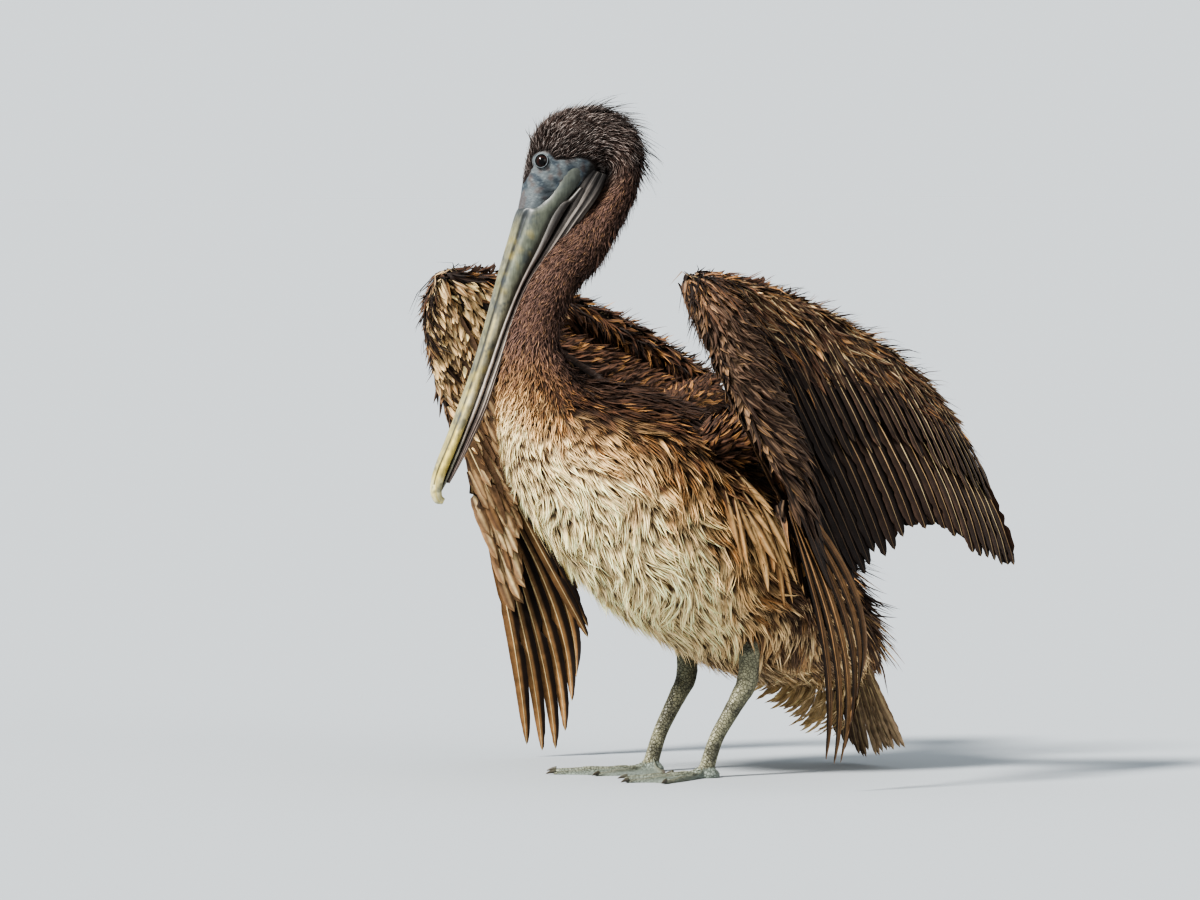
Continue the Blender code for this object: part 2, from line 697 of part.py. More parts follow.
def tube(name, points, radii, side_ratio, look, groups, flip_x, sides=8):
    """A leg's length: a smooth tube through the points, its radii fore and aft in centimetres."""
    rows = smooth([(*place(*point), radius * CM) for point, radius in zip(points, radii)], 3)
    rings = []
    for i, row in enumerate(rows):
        near, far = rows[max(i - 1, 0)][:3], rows[min(i + 1, len(rows) - 1)][:3]
        along = unit(far - near)
        side = unit(np.cross(along, (0.0, 1.0, 0.3)))
        rise = unit(np.cross(along, side))
        rings.append(ellipse(row[:3], rise * row[3], side * row[3] * side_ratio, sides))
    return loft(name, rings, look, groups.bird, flip_x)


def foot_reach(turn):
    """How far the webbed foot reaches from its joint at this angle, and how near a toe's line it is."""
    reach, ridge = FOOT_HEEL, 0.0
    for (turn_a, long_a), (turn_b, long_b) in zip(TOES, TOES[1:]):
        if turn_b <= turn <= turn_a:
            t = (turn_a - turn) / (turn_a - turn_b)
            web = long_a + (long_b - long_a) * t
            reach = web * (1 - 0.16 * math.sin(math.pi * t) ** 0.8)
    for toe_turn, toe_length in TOES:
        away = abs(turn - toe_turn) * math.radians(1) * toe_length
        ridge = max(ridge, math.exp(-((away / 0.55) ** 2)))
        if turn > TOES[0][0] or turn < TOES[-1][0]:
            edge = min(abs(turn - TOES[0][0]), abs(turn - TOES[-1][0]))
            side_of_toe = toe_length * math.exp(-((edge / 4.0) ** 2))
            reach = max(reach, side_of_toe * (abs(turn - toe_turn) < 12))
    return reach, ridge


def foot_turns():
    """The angles of the foot's outline points, closest together round the toes."""
    front = set()
    for turn in np.linspace(TOES[-1][0] - 9, TOES[0][0] + 9, FOOT_COLUMNS - HEEL_COLUMNS):
        nearest = min((toe_turn for toe_turn, _ in TOES), key=lambda toe: abs(toe - turn))
        front.add(nearest if abs(nearest - turn) < 1 else turn)
    back = np.linspace(TOES[0][0] + 22, TOES[-1][0] + 338, HEEL_COLUMNS)
    return [*sorted(front), *back]


def build_foot(side, flip_x, looks, groups):
    """A webbed foot, flat underneath: the web between four toes, which rise from it as ridges."""
    joint = place(*FOOT_JOINT, 0.0)
    turns = foot_turns()
    outline = [(math.radians(turn) + FOOT_SPLAY, *foot_reach(turn)) for turn in turns]
    rings = []
    for share in (0.0, 0.12, 0.5, 1.0):
        ring = []
        for turn, reach, ridge in outline:
            distance = FOOT_CENTRE * (1 - share) + reach * share
            hub = HUB_HEIGHT * math.exp(-(((distance - FOOT_CENTRE) / HUB_RADIUS) ** 2))
            toe = TOE_HEIGHT * ridge * min(share / 0.12, 1.0) * (1 - 0.55 * share)
            height = WEB_HEIGHT * (1 - 0.4 * share) + toe + hub
            out, ahead = math.sin(turn) * distance, math.cos(turn) * distance
            ring.append(joint + place(out, ahead, height))
        rings.append(ring)
    rings.append([np.array((point[0], point[1], 0.0)) for point in rings[-1]])
    return loft(f"foot_{side}", rings, looks["foot"], groups.bird, flip_x)


def build_leg(side, flip_x, trunk, looks, groups):
    look = looks["leg"]
    thigh = tube(f"leg_thigh_{side}", THIGH_POINTS, THIGH_RADII, 0.85, look, groups, flip_x)
    shank = tube(f"leg_shank_{side}", SHANK_POINTS, SHANK_RADII, 0.72, look, groups, flip_x)
    foot = build_foot(side, flip_x, looks, groups)
    carve(shank, foot, groups.cutters)
    apply_cuts(shank)
    carve(thigh, trunk, groups.cutters)
    carve(thigh, shank, groups.cutters)
    apply_cuts(thigh)


def settle(groups):
    """Moves the whole bird so that its box stands centred on the origin."""
    holder = bpy.data.objects.new("brown_pelican", None)
    bpy.context.scene.collection.objects.link(holder)
    bpy.context.view_layer.update()
    corners = []
    for solid in groups.bird.objects:
        for vert in solid.data.vertices:
            corners.append(solid.matrix_world @ vert.co)
    corners = np.array(corners)
    low, high = corners.min(axis=0), corners.max(axis=0)
    for solid in list(groups.bird.objects) + list(groups.cutters.objects):
        solid.parent = holder
    holder.location = (-(low[0] + high[0]) / 2, -(low[1] + high[1]) / 2, -low[2])


def main():
    clear_scene()
    groups = Collections()
    looks = {
        "head": paint("head_feathers", (0.10, 0.07, 0.06), 0.85),
        "neck": paint("neck_feathers", (0.15, 0.09, 0.07), 0.85),
        "trunk": paint("body_feathers", (0.42, 0.33, 0.24), 0.85),
        "wing": paint("wing_coverts", (0.16, 0.09, 0.05), 0.75),
        "quill": paint("flight_feathers", (0.10, 0.06, 0.04), 0.6),
        "bill": paint("bill_horn", (0.42, 0.43, 0.33), 0.45),
        "pouch": paint("pouch_skin", (0.20, 0.17, 0.16), 0.6),
        "eye": paint("eye", (0.03, 0.012, 0.008), 0.1),
        "leg": paint("leg_skin", (0.27, 0.28, 0.24), 0.6),
        "foot": paint("foot_skin", (0.22, 0.24, 0.24), 0.6),
    }
    head = HeadFrame()
    body = build_body(head, looks, groups)
    bill = build_bill(head, looks, groups)
    eyes = build_eyes(head, looks, groups)
    for tool in (*eyes.values(), bill["bill_upper"], bill["bill_lower"], bill["pouch"]):
        carve(body["head"], tool, groups.cutters, "MANIFOLD")
    apply_cuts(body["head"])
    for name in ("neck_upper", "neck_lower"):
        for tool in (bill["bill_lower"], bill["pouch"]):
            carve(body[name], tool, groups.cutters)
        apply_cuts(body[name])
    for side, flip_x in (("left", False), ("right", True)):
        build_wing(side, flip_x, body["trunk"], looks, groups)
        build_leg(side, flip_x, body["trunk"], looks, groups)
    build_tail(body["trunk"], looks, groups)
    settle(groups)


main()
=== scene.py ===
"""The looks of a young brown pelican, standing with its wings half raised and its bill down.

Everything is worked out in the bird's own frame, in metres: +X is its left, -Y is ahead, +Z is up.
Places are written as (left, forward, up) in centimetres. mesh_object() moves each finished piece
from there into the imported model's frame, by OFFSET.
"""

import math
from dataclasses import dataclass

import bmesh
import bpy
import numpy as np
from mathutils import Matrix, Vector
from mathutils.kdtree import KDTree


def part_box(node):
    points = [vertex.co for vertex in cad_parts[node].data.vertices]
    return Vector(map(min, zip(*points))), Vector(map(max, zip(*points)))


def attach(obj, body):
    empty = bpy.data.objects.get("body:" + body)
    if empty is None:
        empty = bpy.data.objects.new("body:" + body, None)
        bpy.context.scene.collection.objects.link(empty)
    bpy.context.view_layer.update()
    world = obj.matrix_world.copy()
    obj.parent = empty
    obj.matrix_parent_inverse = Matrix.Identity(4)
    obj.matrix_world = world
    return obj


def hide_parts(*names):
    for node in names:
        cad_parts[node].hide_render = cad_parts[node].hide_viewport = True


CM = 0.01
MM = 0.001

# ---------------------------------------------------------------- the bird's form

# The head's turn to the right, and how far the bill points below level.
HEAD_TURN = math.radians(18)
BILL_PITCH = math.radians(72.7)
BILL_BASE = (-2.70, 18.47, 55.14)
# The eye's place in the head's frame, its radius, and how far its lids' axis tips up.
EYE_FORWARD = -3.65
EYE_BELOW_CROWN_LINE = 0.62
EYE_SIDE = 1.42
EYE_RADIUS = 0.70
EYE_TILT = math.radians(30)

# Slices of the head, from the bill's base back to the neck: the throat's and the crown's place, each
# as (forward, below) in the head's frame, and half the width.
HEAD_SLICES = [
    ((0.0, 3.3), (0.0, -0.05), 1.72),
    ((-1.1, 4.7), (-2.2, -0.38), 1.92),
    ((-2.2, 5.7), (-4.2, -0.48), 2.15),
    ((-3.3, 6.4), (-6.2, -0.30), 2.40),
    ((-4.1, 6.8), (-8.0, 0.65), 2.55),
    ((-4.5, 6.9), (-9.6, 3.1), 2.60),
    ((-4.4, 7.1), (-10.1, 5.5), 2.60),
    ((-4.1, 7.3), (-9.2, 8.4), 2.50),
    ((-3.4, 7.3), (-7.1, 9.9), 2.35),
    ((-2.3, 7.0), (-5.0, 10.5), 2.25),
    ((-0.8, 6.4), (-2.3, 10.5), 2.15),
]
# Slices of neck and trunk on the middle plane: forward, up, half the depth and half the width.
NECK_SLICES = [
    (13.2, 50.4, 2.30, 2.10),
    (16.1, 47.4, 2.20, 2.05),
    (18.3, 43.4, 2.30, 2.15),
    (18.85, 40.3, 2.85, 2.70),
    (18.3, 37.0, 4.00, 4.40),
]
TRUNK_SLICES = [
    (16.4, 34.0, 6.0, 6.9),
    (13.2, 31.1, 7.8, 8.8),
    (8.0, 27.7, 9.6, 9.9),
    (2.8, 24.0, 10.3, 10.3),
    (-2.2, 20.6, 9.8, 10.0),
    (-7.0, 17.3, 8.8, 9.2),
    (-11.0, 14.8, 7.3, 7.8),
    (-14.6, 12.6, 5.3, 6.2),
    (-17.2, 11.1, 3.5, 4.4),
    (-18.8, 10.2, 1.5, 2.4),
]

# Slices along the bill, in the head's frame: forward, the top and the bottom edge as depths below the
# bill's top line, and half the width.
UPPER_BILL = [
    (-4.7, 2.90, 5.15, 2.08),
    (-4.0, 2.25, 5.05, 2.19),
    (-3.0, 2.00, 4.90, 2.19),
    (-2.0, 1.92, 4.60, 2.11),
    (-1.0, 1.75, 4.20, 2.01),
    (-0.2, 1.40, 3.90, 1.94),
    (0.6, 0.75, 3.62, 1.89),
    (1.4, 0.04, 3.45, 1.86),
    (4.0, 0.02, 2.98, 1.76),
    (8.0, 0.06, 2.20, 1.50),
    (12.0, 0.20, 1.85, 1.28),
    (16.0, 0.28, 1.60, 1.20),
    (20.0, 0.12, 1.32, 1.25),
    (24.0, -0.16, 0.96, 1.28),
    (26.4, -0.40, 0.76, 1.10),
    (27.8, -0.44, 0.72, 0.84),
    (28.9, -0.26, 0.92, 0.66),
    (29.6, 0.28, 1.26, 0.46),
    (29.7, 1.00, 1.60, 0.22),
]
# Slices of the lower bill and the pouch under it: forward, the depths of the bill's edge, of its keel
# and of the pouch's bottom, and half the width.
LOWER_BILL = [
    (-4.3, 5.15, 5.55, 6.85, 2.15),
    (-2.4, 4.55, 5.15, 6.60, 2.10),
    (0.0, 2.95, 4.30, 5.80, 1.85),
    (4.0, 2.48, 3.38, 4.50, 1.66),
    (8.0, 1.88, 2.45, 3.00, 1.40),
    (12.0, 1.53, 2.10, 2.68, 1.18),
    (16.0, 1.39, 1.95, 2.70, 1.10),
    (20.0, 1.19, 1.75, 2.62, 1.16),
    (23.5, 0.94, 1.42, 2.15, 1.14),
    (26.2, 0.72, 1.15, 1.66, 0.94),
    (27.9, 0.66, 0.98, 1.30, 0.62),
    (28.8, 0.62, 0.84, 1.02, 0.26),
]
# How far each slice of the upper bill tips forwards, in degrees: the nail at its end hooks down.
HOOK_TILT = (0,) * 14 + (8, 20, 42, 66, 80)
# How much narrower the upper bill is at its top than at its middle.
CULMEN_RIDGE = 0.35
# The groove along each side of the upper bill: its place and width, as turns from the top.
GROOVE_TURN = math.radians(52)
GROOVE_WIDTH = math.radians(8)
# How much deeper the pouch hangs at its root, where it meets the neck.
POUCH_TO_NECK = 0.45

# Lines down the left wing, from the shoulder over elbow and wrist to the outermost primary: the place
# at the leading edge, the place at the feathers' tips, and how far it swells outwards and backwards.
WING_ROWS = [
    ((8.2, 1.6, 32.4), (10.8, -14.6, 22.4), 0.4, 0.5),
    ((12.5, -5.0, 35.0), (14.4, -18.3, 23.4), 0.5, 0.8),
    ((17.3, -12.4, 36.9), (20.6, -22.6, 19.4), 0.6, 1.7),
    ((18.5, -6.4, 40.9), (22.3, -17.3, 20.8), 1.0, 1.5),
    ((19.5, 1.0, 44.4), (22.8, -11.6, 23.6), 1.2, 1.0),
    ((20.4, 8.8, 47.0), (23.1, -5.4, 21.0), 1.2, 0.6),
    ((20.9, 15.6, 48.0), (23.6, -1.4, 18.2), 1.0, 0.3),
    ((24.2, 15.6, 44.2), (24.4, -3.2, 13.4), 0.9, 0.3),
    ((25.6, 14.2, 39.6), (25.2, -3.3, 9.2), 0.7, 0.4),
    ((26.6, 11.8, 34.2), (26.4, -1.6, 0.9), 0.5, 0.5),
    ((27.0, 8.5, 28.5), (27.1, 3.2, 2.4), 0.3, 0.4),
]
# Numbers of the rows at the joints, and of the row where the hand ends.
SHOULDER_ROW = 0
ELBOW_ROW = 2
WRIST_ROW = 6
HAND_ROW = 10
# How far down the wing the coverts on the forearm reach.
FOREARM_COVERTS = 0.50
# Slices of the hand, from the wrist down: the leading edge's place, half the width and half the
# thickness.
HAND_SLICES = [
    ((20.5, 15.7, 47.3), 0.35, 0.25),
    ((21.2, 15.9, 47.0), 1.5, 0.9),
    ((22.4, 15.9, 46.2), 2.3, 1.4),
    ((24.2, 15.6, 43.8), 2.8, 1.5),
    ((25.6, 14.2, 39.6), 2.9, 1.3),
    ((26.6, 11.8, 34.2), 2.6, 1.1),
    ((27.0, 8.6, 28.5), 2.1, 0.8),
    ((26.9, 6.4, 23.6), 0.9, 0.35),
]
# The direction from the hand's leading edge to its feathers.
HAND_TRAIL = (-0.35, -0.93, 0.10)
# The fan of long primaries: the roots at its inner and outer side, how far it swells outwards, and the
# least height of its tips.
FAN_ROOT_INNER = (25.9, 7.6, 29.0)
FAN_ROOT_OUTER = (26.8, 7.9, 26.0)
FAN_SWELL = 0.4
TIP_CLEARANCE = 0.2 * CM
# The row where the short primaries end, and the numbers of the long ones after them.
INNER_PRIMARIES_END = WRIST_ROW + 1.7
LONG_PRIMARIES = (5, 6, 7, 8, 9, 10)
# The upper arm starts here, and has these radii down to the elbow.
SHOULDER = (5.4, 4.2, 31.2)
ARM_RADII = (2.8, 2.6, 2.2, 1.7)

# The tail runs from its root to its tip as a fan, arched across its root, its outer feathers shorter by
# this share.
TAIL_FEATHERS = 20
TAIL_ROOT = (0.0, -15.6, 13.2)
TAIL_TIP = (0.0, -20.8, 0.05)
TAIL_ROOT_HALF_WIDTH = 2.6
TAIL_TIP_HALF_WIDTH = 6.3
TAIL_ARCH = 0.9
OUTER_TAIL_SHORTER = 0.16
UNDERTAIL_FEATHERS = 120
UNDERTAIL_LAYERS = 6

# The leg's middle line from the belly down into the foot, with the ankle third, and its radii.
LEG_POINTS = (
    (5.6, -2.4, 15.5), (5.4, -2.1, 11.6), (5.2, -1.9, 8.9),
    (5.05, -0.3, 6.3), (4.85, 1.3, 3.75), (4.8, 2.3, 1.2), (4.8, 2.5, 0.45),
)
LEG_RADII = (1.2, 1.05, 0.98, 0.80, 0.72, 0.76, 0.80)
FOOT_JOINT = (4.8, 2.3)
FOOT_SPLAY = math.radians(7)
# Each toe's angle from straight ahead, outwards, in degrees, and its length.
TOES = [(24, 9.6), (2, 10.6), (-24, 8.4), (-78, 4.6)]
# How far the foot reaches behind its joint, the hub's height and radius over the joint, and how thick
# the web is and the toes are over it.
FOOT_HEEL = 1.15
HUB_HEIGHT = 1.05
HUB_RADIUS = 0.75
WEB_HEIGHT = 0.26
TOE_HEIGHT = 0.46

# ---------------------------------------------------------------- colours


def colour(red, green, blue):
    """A colour as it is written for a screen, turned into the light that it reflects."""
    value = np.array((red, green, blue), float) / 255
    return np.where(value <= 0.04045, value / 12.92, ((value + 0.055) / 1.055) ** 2.4)


CREAM = colour(255, 228, 178)
CREAM_GREY = colour(192, 168, 138)
GOLD = colour(208, 156, 96)
STRAW = colour(242, 200, 146)
RUST = colour(118, 82, 60)
UMBER = colour(80, 56, 42)
UNDER_BROWN = colour(60, 42, 31)
BLACK_BROWN = colour(38, 26, 20)
MAUVE_BROWN = colour(120, 94, 84)
MAUVE_DARK = colour(74, 55, 48)
CROWN_GREY = colour(170, 162, 158)
CROWN_DARK = colour(46, 33, 28)
BUFF = colour(182, 142, 100)
PALE_SHAFT = colour(244, 220, 172)
TAUPE = colour(140, 116, 94)
GREY_BROWN = colour(96, 80, 68)
PRIMARY_GOLD = colour(150, 114, 76)
TAIL_BROWN = colour(204, 176, 144)
FACE_GREY = colour(126, 134, 138)
FACE_BLUE = colour(96, 110, 122)
FACE_PALE = colour(160, 168, 166)
BILL_GREEN = colour(142, 148, 130)
BILL_CREAM = colour(196, 188, 158)
BILL_YELLOW = colour(208, 186, 92)
BILL_SEAM_DARK = colour(56, 52, 44)
BILL_NAIL = colour(214, 206, 162)
POUCH_GREY = colour(128, 120, 114)
POUCH_DARK = colour(52, 48, 46)
POUCH_MAUVE = colour(150, 134, 126)
POUCH_PALE = colour(178, 168, 158)
LEG_GREEN = colour(128, 126, 104)
LEG_DARK = colour(74, 73, 62)
WEB_GREY = colour(118, 126, 118)
CLAW_DARK = colour(66, 58, 50)
IRIS = colour(42, 20, 14)
PUPIL = colour(6, 5, 5)

# ---------------------------------------------------------------- light and view, in metres

# Each lamp's name, where it stands across, nearer and above the view's centre, its strength, and its
# spread in degrees.
LAMPS = (("key", -1.5, 1.3, 1.9, 6.8, 11.0), ("fill", 1.8, 1.6, 0.8, 0.8, 40.0))
LAMP_TINT = (1.0, 0.97, 0.92)
SKY_TINT = (0.82, 0.87, 0.90)
SKY_STRENGTH = 0.96
# At this colour the floor in these lamps' light is as bright as the sky behind it.
FLOOR_TINT = (0.333, 0.353, 0.373)
# Half the side of the square floor.
FLOOR_HALF = 90
# The camera: its turn and rise round the view's centre, which is this far to the right and up.
VIEW_TURN = math.radians(57)
VIEW_RISE = math.radians(2)
VIEW_CENTRE_RIGHT = -0.0765
VIEW_CENTRE_HEIGHT = 0.3095
VIEW_DISTANCE = 8.0
VIEW_LENS = 252.0
SENSOR_WIDTH = 36.0

# ---------------------------------------------------------------- vectors and curves


def place(left, forward, up):
    """A place on the bird, in metres."""
    return np.array((left, -forward, up)) * CM


def unit(vectors):
    """The same vectors at length one. The last axis holds x, y and z."""
    length = np.linalg.norm(vectors, axis=-1, keepdims=True)
    return vectors / np.maximum(length, 1e-12)


def dot(a, b):
    """Dot products along the last axis, which is kept."""
    return np.sum(a * b, axis=-1, keepdims=True)


def ramp(value, low, high):
    """0 below low and 1 above high, with a smooth rise between."""
    t = np.clip((np.asarray(value, float) - low) / (high - low), 0.0, 1.0)
    return t * t * (3 - 2 * t)


def mix(a, b, share):
    """Colours a and b mixed, share being how much of b."""
    share = np.asarray(share, float)[..., None]
    return a * (1 - share) + b * share


def wobble(points, size, seed):
    """A smooth wandering number from about -1 to 1 at each point, of this size across."""
    rng = np.random.default_rng(seed)
    total = np.zeros(points.shape[:-1])
    for _ in range(6):
        direction = unit(rng.normal(size=3)) * rng.uniform(0.6, 1.7)
        total = total + np.sin(points @ direction * (2 * math.pi / size) + rng.uniform(0, 6.28))
    return total / 3.0


def curve_at(padded, where):
    """The Catmull-Rom curve through padded[1:-1] at this row number."""
    span = min(int(where), len(padded) - 4)
    t = where - span
    a, b, c, d = padded[span : span + 4]
    square = (2 * a - 5 * b + 4 * c - d) * t**2
    cube = (3 * b - a - 3 * c + d) * t**3
    return 0.5 * (2 * b + (c - a) * t + square + cube)


def smooth(rows, steps):
    """Rows of numbers along a smooth curve through the given rows, with this many steps a span."""
    rows = np.asarray(rows, float)
    padded = np.vstack((2 * rows[0] - rows[1], rows, 2 * rows[-1] - rows[-2]))
    return np.array([curve_at(padded, k / steps) for k in range((len(rows) - 1) * steps + 1)])


class HeadFrame:
    """Turns (forward along the bill, below its top line, left) in centimetres into metres."""

    def __init__(self):
        heading = np.array((-math.sin(HEAD_TURN), -math.cos(HEAD_TURN), 0.0))
        up = np.array((0.0, 0.0, 1.0))
        self.left = np.array((math.cos(HEAD_TURN), -math.sin(HEAD_TURN), 0.0))
        self.bill = heading * math.cos(BILL_PITCH) - up * math.sin(BILL_PITCH)
        self.crown = heading * math.sin(BILL_PITCH) + up * math.cos(BILL_PITCH)
        self.base = place(*BILL_BASE)

    def at(self, forward, below, left=0.0):
        """The point at this place on the head."""
        return self.base + (self.bill * forward - self.crown * below + self.left * left) * CM

    def local(self, points):
        """(forward, below, left) in centimetres of these points."""
        away = (points - self.base) / CM
        return away @ self.bill, -(away @ self.crown), away @ self.left


def body_rows(head):
    """Centre, rise and side vectors of each slice, from the bill's base back to the rump."""
    rows = []
    for throat, crown, half_width in HEAD_SLICES:
        low, high = head.at(*throat), head.at(*crown)
        rows.append((*(low + high) / 2, *(high - low) / 2, *head.left * half_width * CM))
    slices = NECK_SLICES + TRUNK_SLICES
    middle = [rows[-1][:3]] + [place(0.0, forward, up) for forward, up, _, _ in slices]
    middle.append(2 * np.array(middle[-1]) - np.array(middle[-2]))
    middle = [np.array(point) for point in middle]
    for i, (_, _, half_depth, half_width) in enumerate(slices, start=1):
        along = unit(middle[i + 1] - middle[i - 1])
        back = unit(np.cross((1.0, 0.0, 0.0), along))
        side = np.array((half_width * CM, 0.0, 0.0))
        rows.append((*middle[i], *back * half_depth * CM, *side))
    return rows


# ---------------------------------------------------------------- surfaces that feathers grow on


# How many places are tried for each that is kept, and numbers that give each cell of space its own code.
TRIES = 5
CELL_PRIMES = np.array((73856093, 19349663, 83492791))


class Patch:
    """A smooth surface through a grid of points. v runs the way its feathers lie, u across them."""

    def __init__(self, grid, wrap=False):
        self.grid = grid
        self.wrap = wrap
        self.down = np.gradient(grid, axis=0)
        if wrap:
            self.across = (np.roll(grid, -1, axis=1) - np.roll(grid, 1, axis=1)) / 2
        else:
            self.across = np.gradient(grid, axis=1)
        self.normal = unit(np.cross(self.across, self.down))
        self.table = np.concatenate((grid, self.normal, self.down, self.across), axis=2)

    def look(self, v, u):
        """Points, normals and the two steps of the surface at these places, in grid steps."""
        rows, columns = self.grid.shape[:2]
        v_in = np.clip(v, 0, rows - 1.001)
        u_in = np.mod(u, columns) if self.wrap else np.clip(u, 0, columns - 1.001)
        i, j = v_in.astype(int), u_in.astype(int)
        i = np.minimum(i, rows - 2)
        j = np.minimum(j, columns - 1)
        after = (j + 1) % columns if self.wrap else np.minimum(j + 1, columns - 1)
        fv, fu = (v_in - i)[..., None], (u_in - j)[..., None]
        near = self.table[i, j] * (1 - fu) + self.table[i, after] * fu
        far = self.table[i + 1, j] * (1 - fu) + self.table[i + 1, after] * fu
        value = near * (1 - fv) + far * fv
        points = value[..., :3] + value[..., 6:9] * (v - v_in)[..., None]
        if not self.wrap:
            points = points + value[..., 9:12] * (u - u_in)[..., None]
        return points, unit(value[..., 3:6]), value[..., 6:9], value[..., 9:12]

    def sow(self, spacing, rng, keep):
        """Places about this far apart, at random, where keep(v, u, points) is true."""
        area = np.linalg.norm(np.cross(self.across, self.down), axis=2)
        area = area[:-1] if self.wrap else area[:-1, :-1]
        columns = area.shape[1]
        share = area.ravel() / area.sum()
        count = int(area.sum() / spacing**2 * TRIES)
        cells = rng.choice(len(share), size=count, p=share)
        v = cells // columns + rng.random(count)
        u = cells % columns + rng.random(count)
        points = self.look(v, u)[0]
        # Of the places in one cell of space, this wide, only the first is kept.
        cells = np.floor(points / spacing).astype(np.int64)
        codes = np.bitwise_xor.reduce(cells * CELL_PRIMES, axis=1)
        first = np.sort(np.unique(codes, return_index=True)[1])
        v, u, points = v[first], u[first], points[first]
        kept = keep(v, u, points)
        return v[kept], u[kept]

    def steps(self, down, across, direction):
        """Grid steps a metre that go in this direction along the surface."""
        e, f, g = dot(down, down), dot(down, across), dot(across, across)
        r1, r2 = dot(direction, down), dot(direction, across)
        det = np.maximum(e * g - f * f, 1e-18)
        return (r1 * g - r2 * f) / det, (r2 * e - r1 * f) / det


# Each shape's width, as a share of the feather's, at shares t of its length.
SHAPES = {
    "strand": lambda t: (0.55 + 0.45 * np.minimum(t / 0.3, 1)) * (1 - t**1.6) + 0.03,
    "lance": lambda t: np.minimum(0.35 + t * 1.9, 1.0) * np.clip(1 - t**3.2, 0, 1) ** 0.9 + 0.02,
    "round": lambda t: np.minimum(0.4 + t * 1.6, 1.0) * np.clip(1 - t**7, 0, 1) ** 0.6 + 0.02,
}
# How far apart the barbs of a feather's vane are along its shaft.
BARB_PITCH = 1.1 * MM
# How far a big feather's vanes curve down towards their rims, as a share of their width.
VANE_CAMBER = 0.10


@dataclass
class Grown:
    """One sort of small feather. lift is how far its tip stands off, as a share of its length, and rise
    how far its root does, in metres. curl bends it along the surface, roll tips it about its own line,
    camber curves it across, and spread is how much feathers differ in direction. It can grow as a tuft
    of strands, gather millimetres apart, that converge at their tips."""

    length: float
    width: float
    rows: int = 5
    columns: int = 2
    shape: str = "strand"
    lift: float = 0.10
    rise: float = 0.0
    curl: float = 0.15
    roll: float = 0.3
    camber: float = 0.0
    spread: float = 0.12
    converge: float = 0.0
    strands: int = 1
    gather: float = 1.0


def vane_tints(looks, t, across_at):
    """Tints over a batch of small feathers, from root, tip, edge and shaft colours of each."""
    root, tip, edge, shaft = (a[:, None, None] for a in looks)
    rise = ramp(t, 0.18, 0.62)[None, :, None, None]
    tint = root * (1 - rise) + tip * rise
    if len(across_at) > 2:
        rim = (np.abs(across_at) ** 3)[None, None, :, None] * rise
        tint = tint * (1 - rim) + edge * rim
        core = np.clip(1 - np.abs(across_at) * 3, 0, 1)[None, None, :, None]
        core = core * (1 - 0.4 * t[None, :, None, None])
        tint = tint * (1 - core) + shaft * core
    return tint


def vane_maps(patch, v, u, reach, t, across_at):
    """Two UV maps over small feathers: places on the patch's own square, and places among the barbs."""
    rows, columns = patch.grid.shape[:2]
    bake = np.empty((len(v), len(t), len(across_at), 2))
    bake[..., 0] = (np.mod(u, columns) / columns * 0.99 + 0.005)[:, None, None]
    bake[..., 1] = (np.clip(v, 0, rows) / rows * 0.99 + 0.005)[:, None, None]
    bake[..., 0] += across_at * 0.0015
    bake[..., 1] += (t[:, None] - 0.5) * 0.003
    barb = np.empty_like(bake)
    barb[..., 0] = reach[:, :, None] / BARB_PITCH - np.abs(across_at) * 1.2
    barb[..., 1] = across_at
    return bake, barb


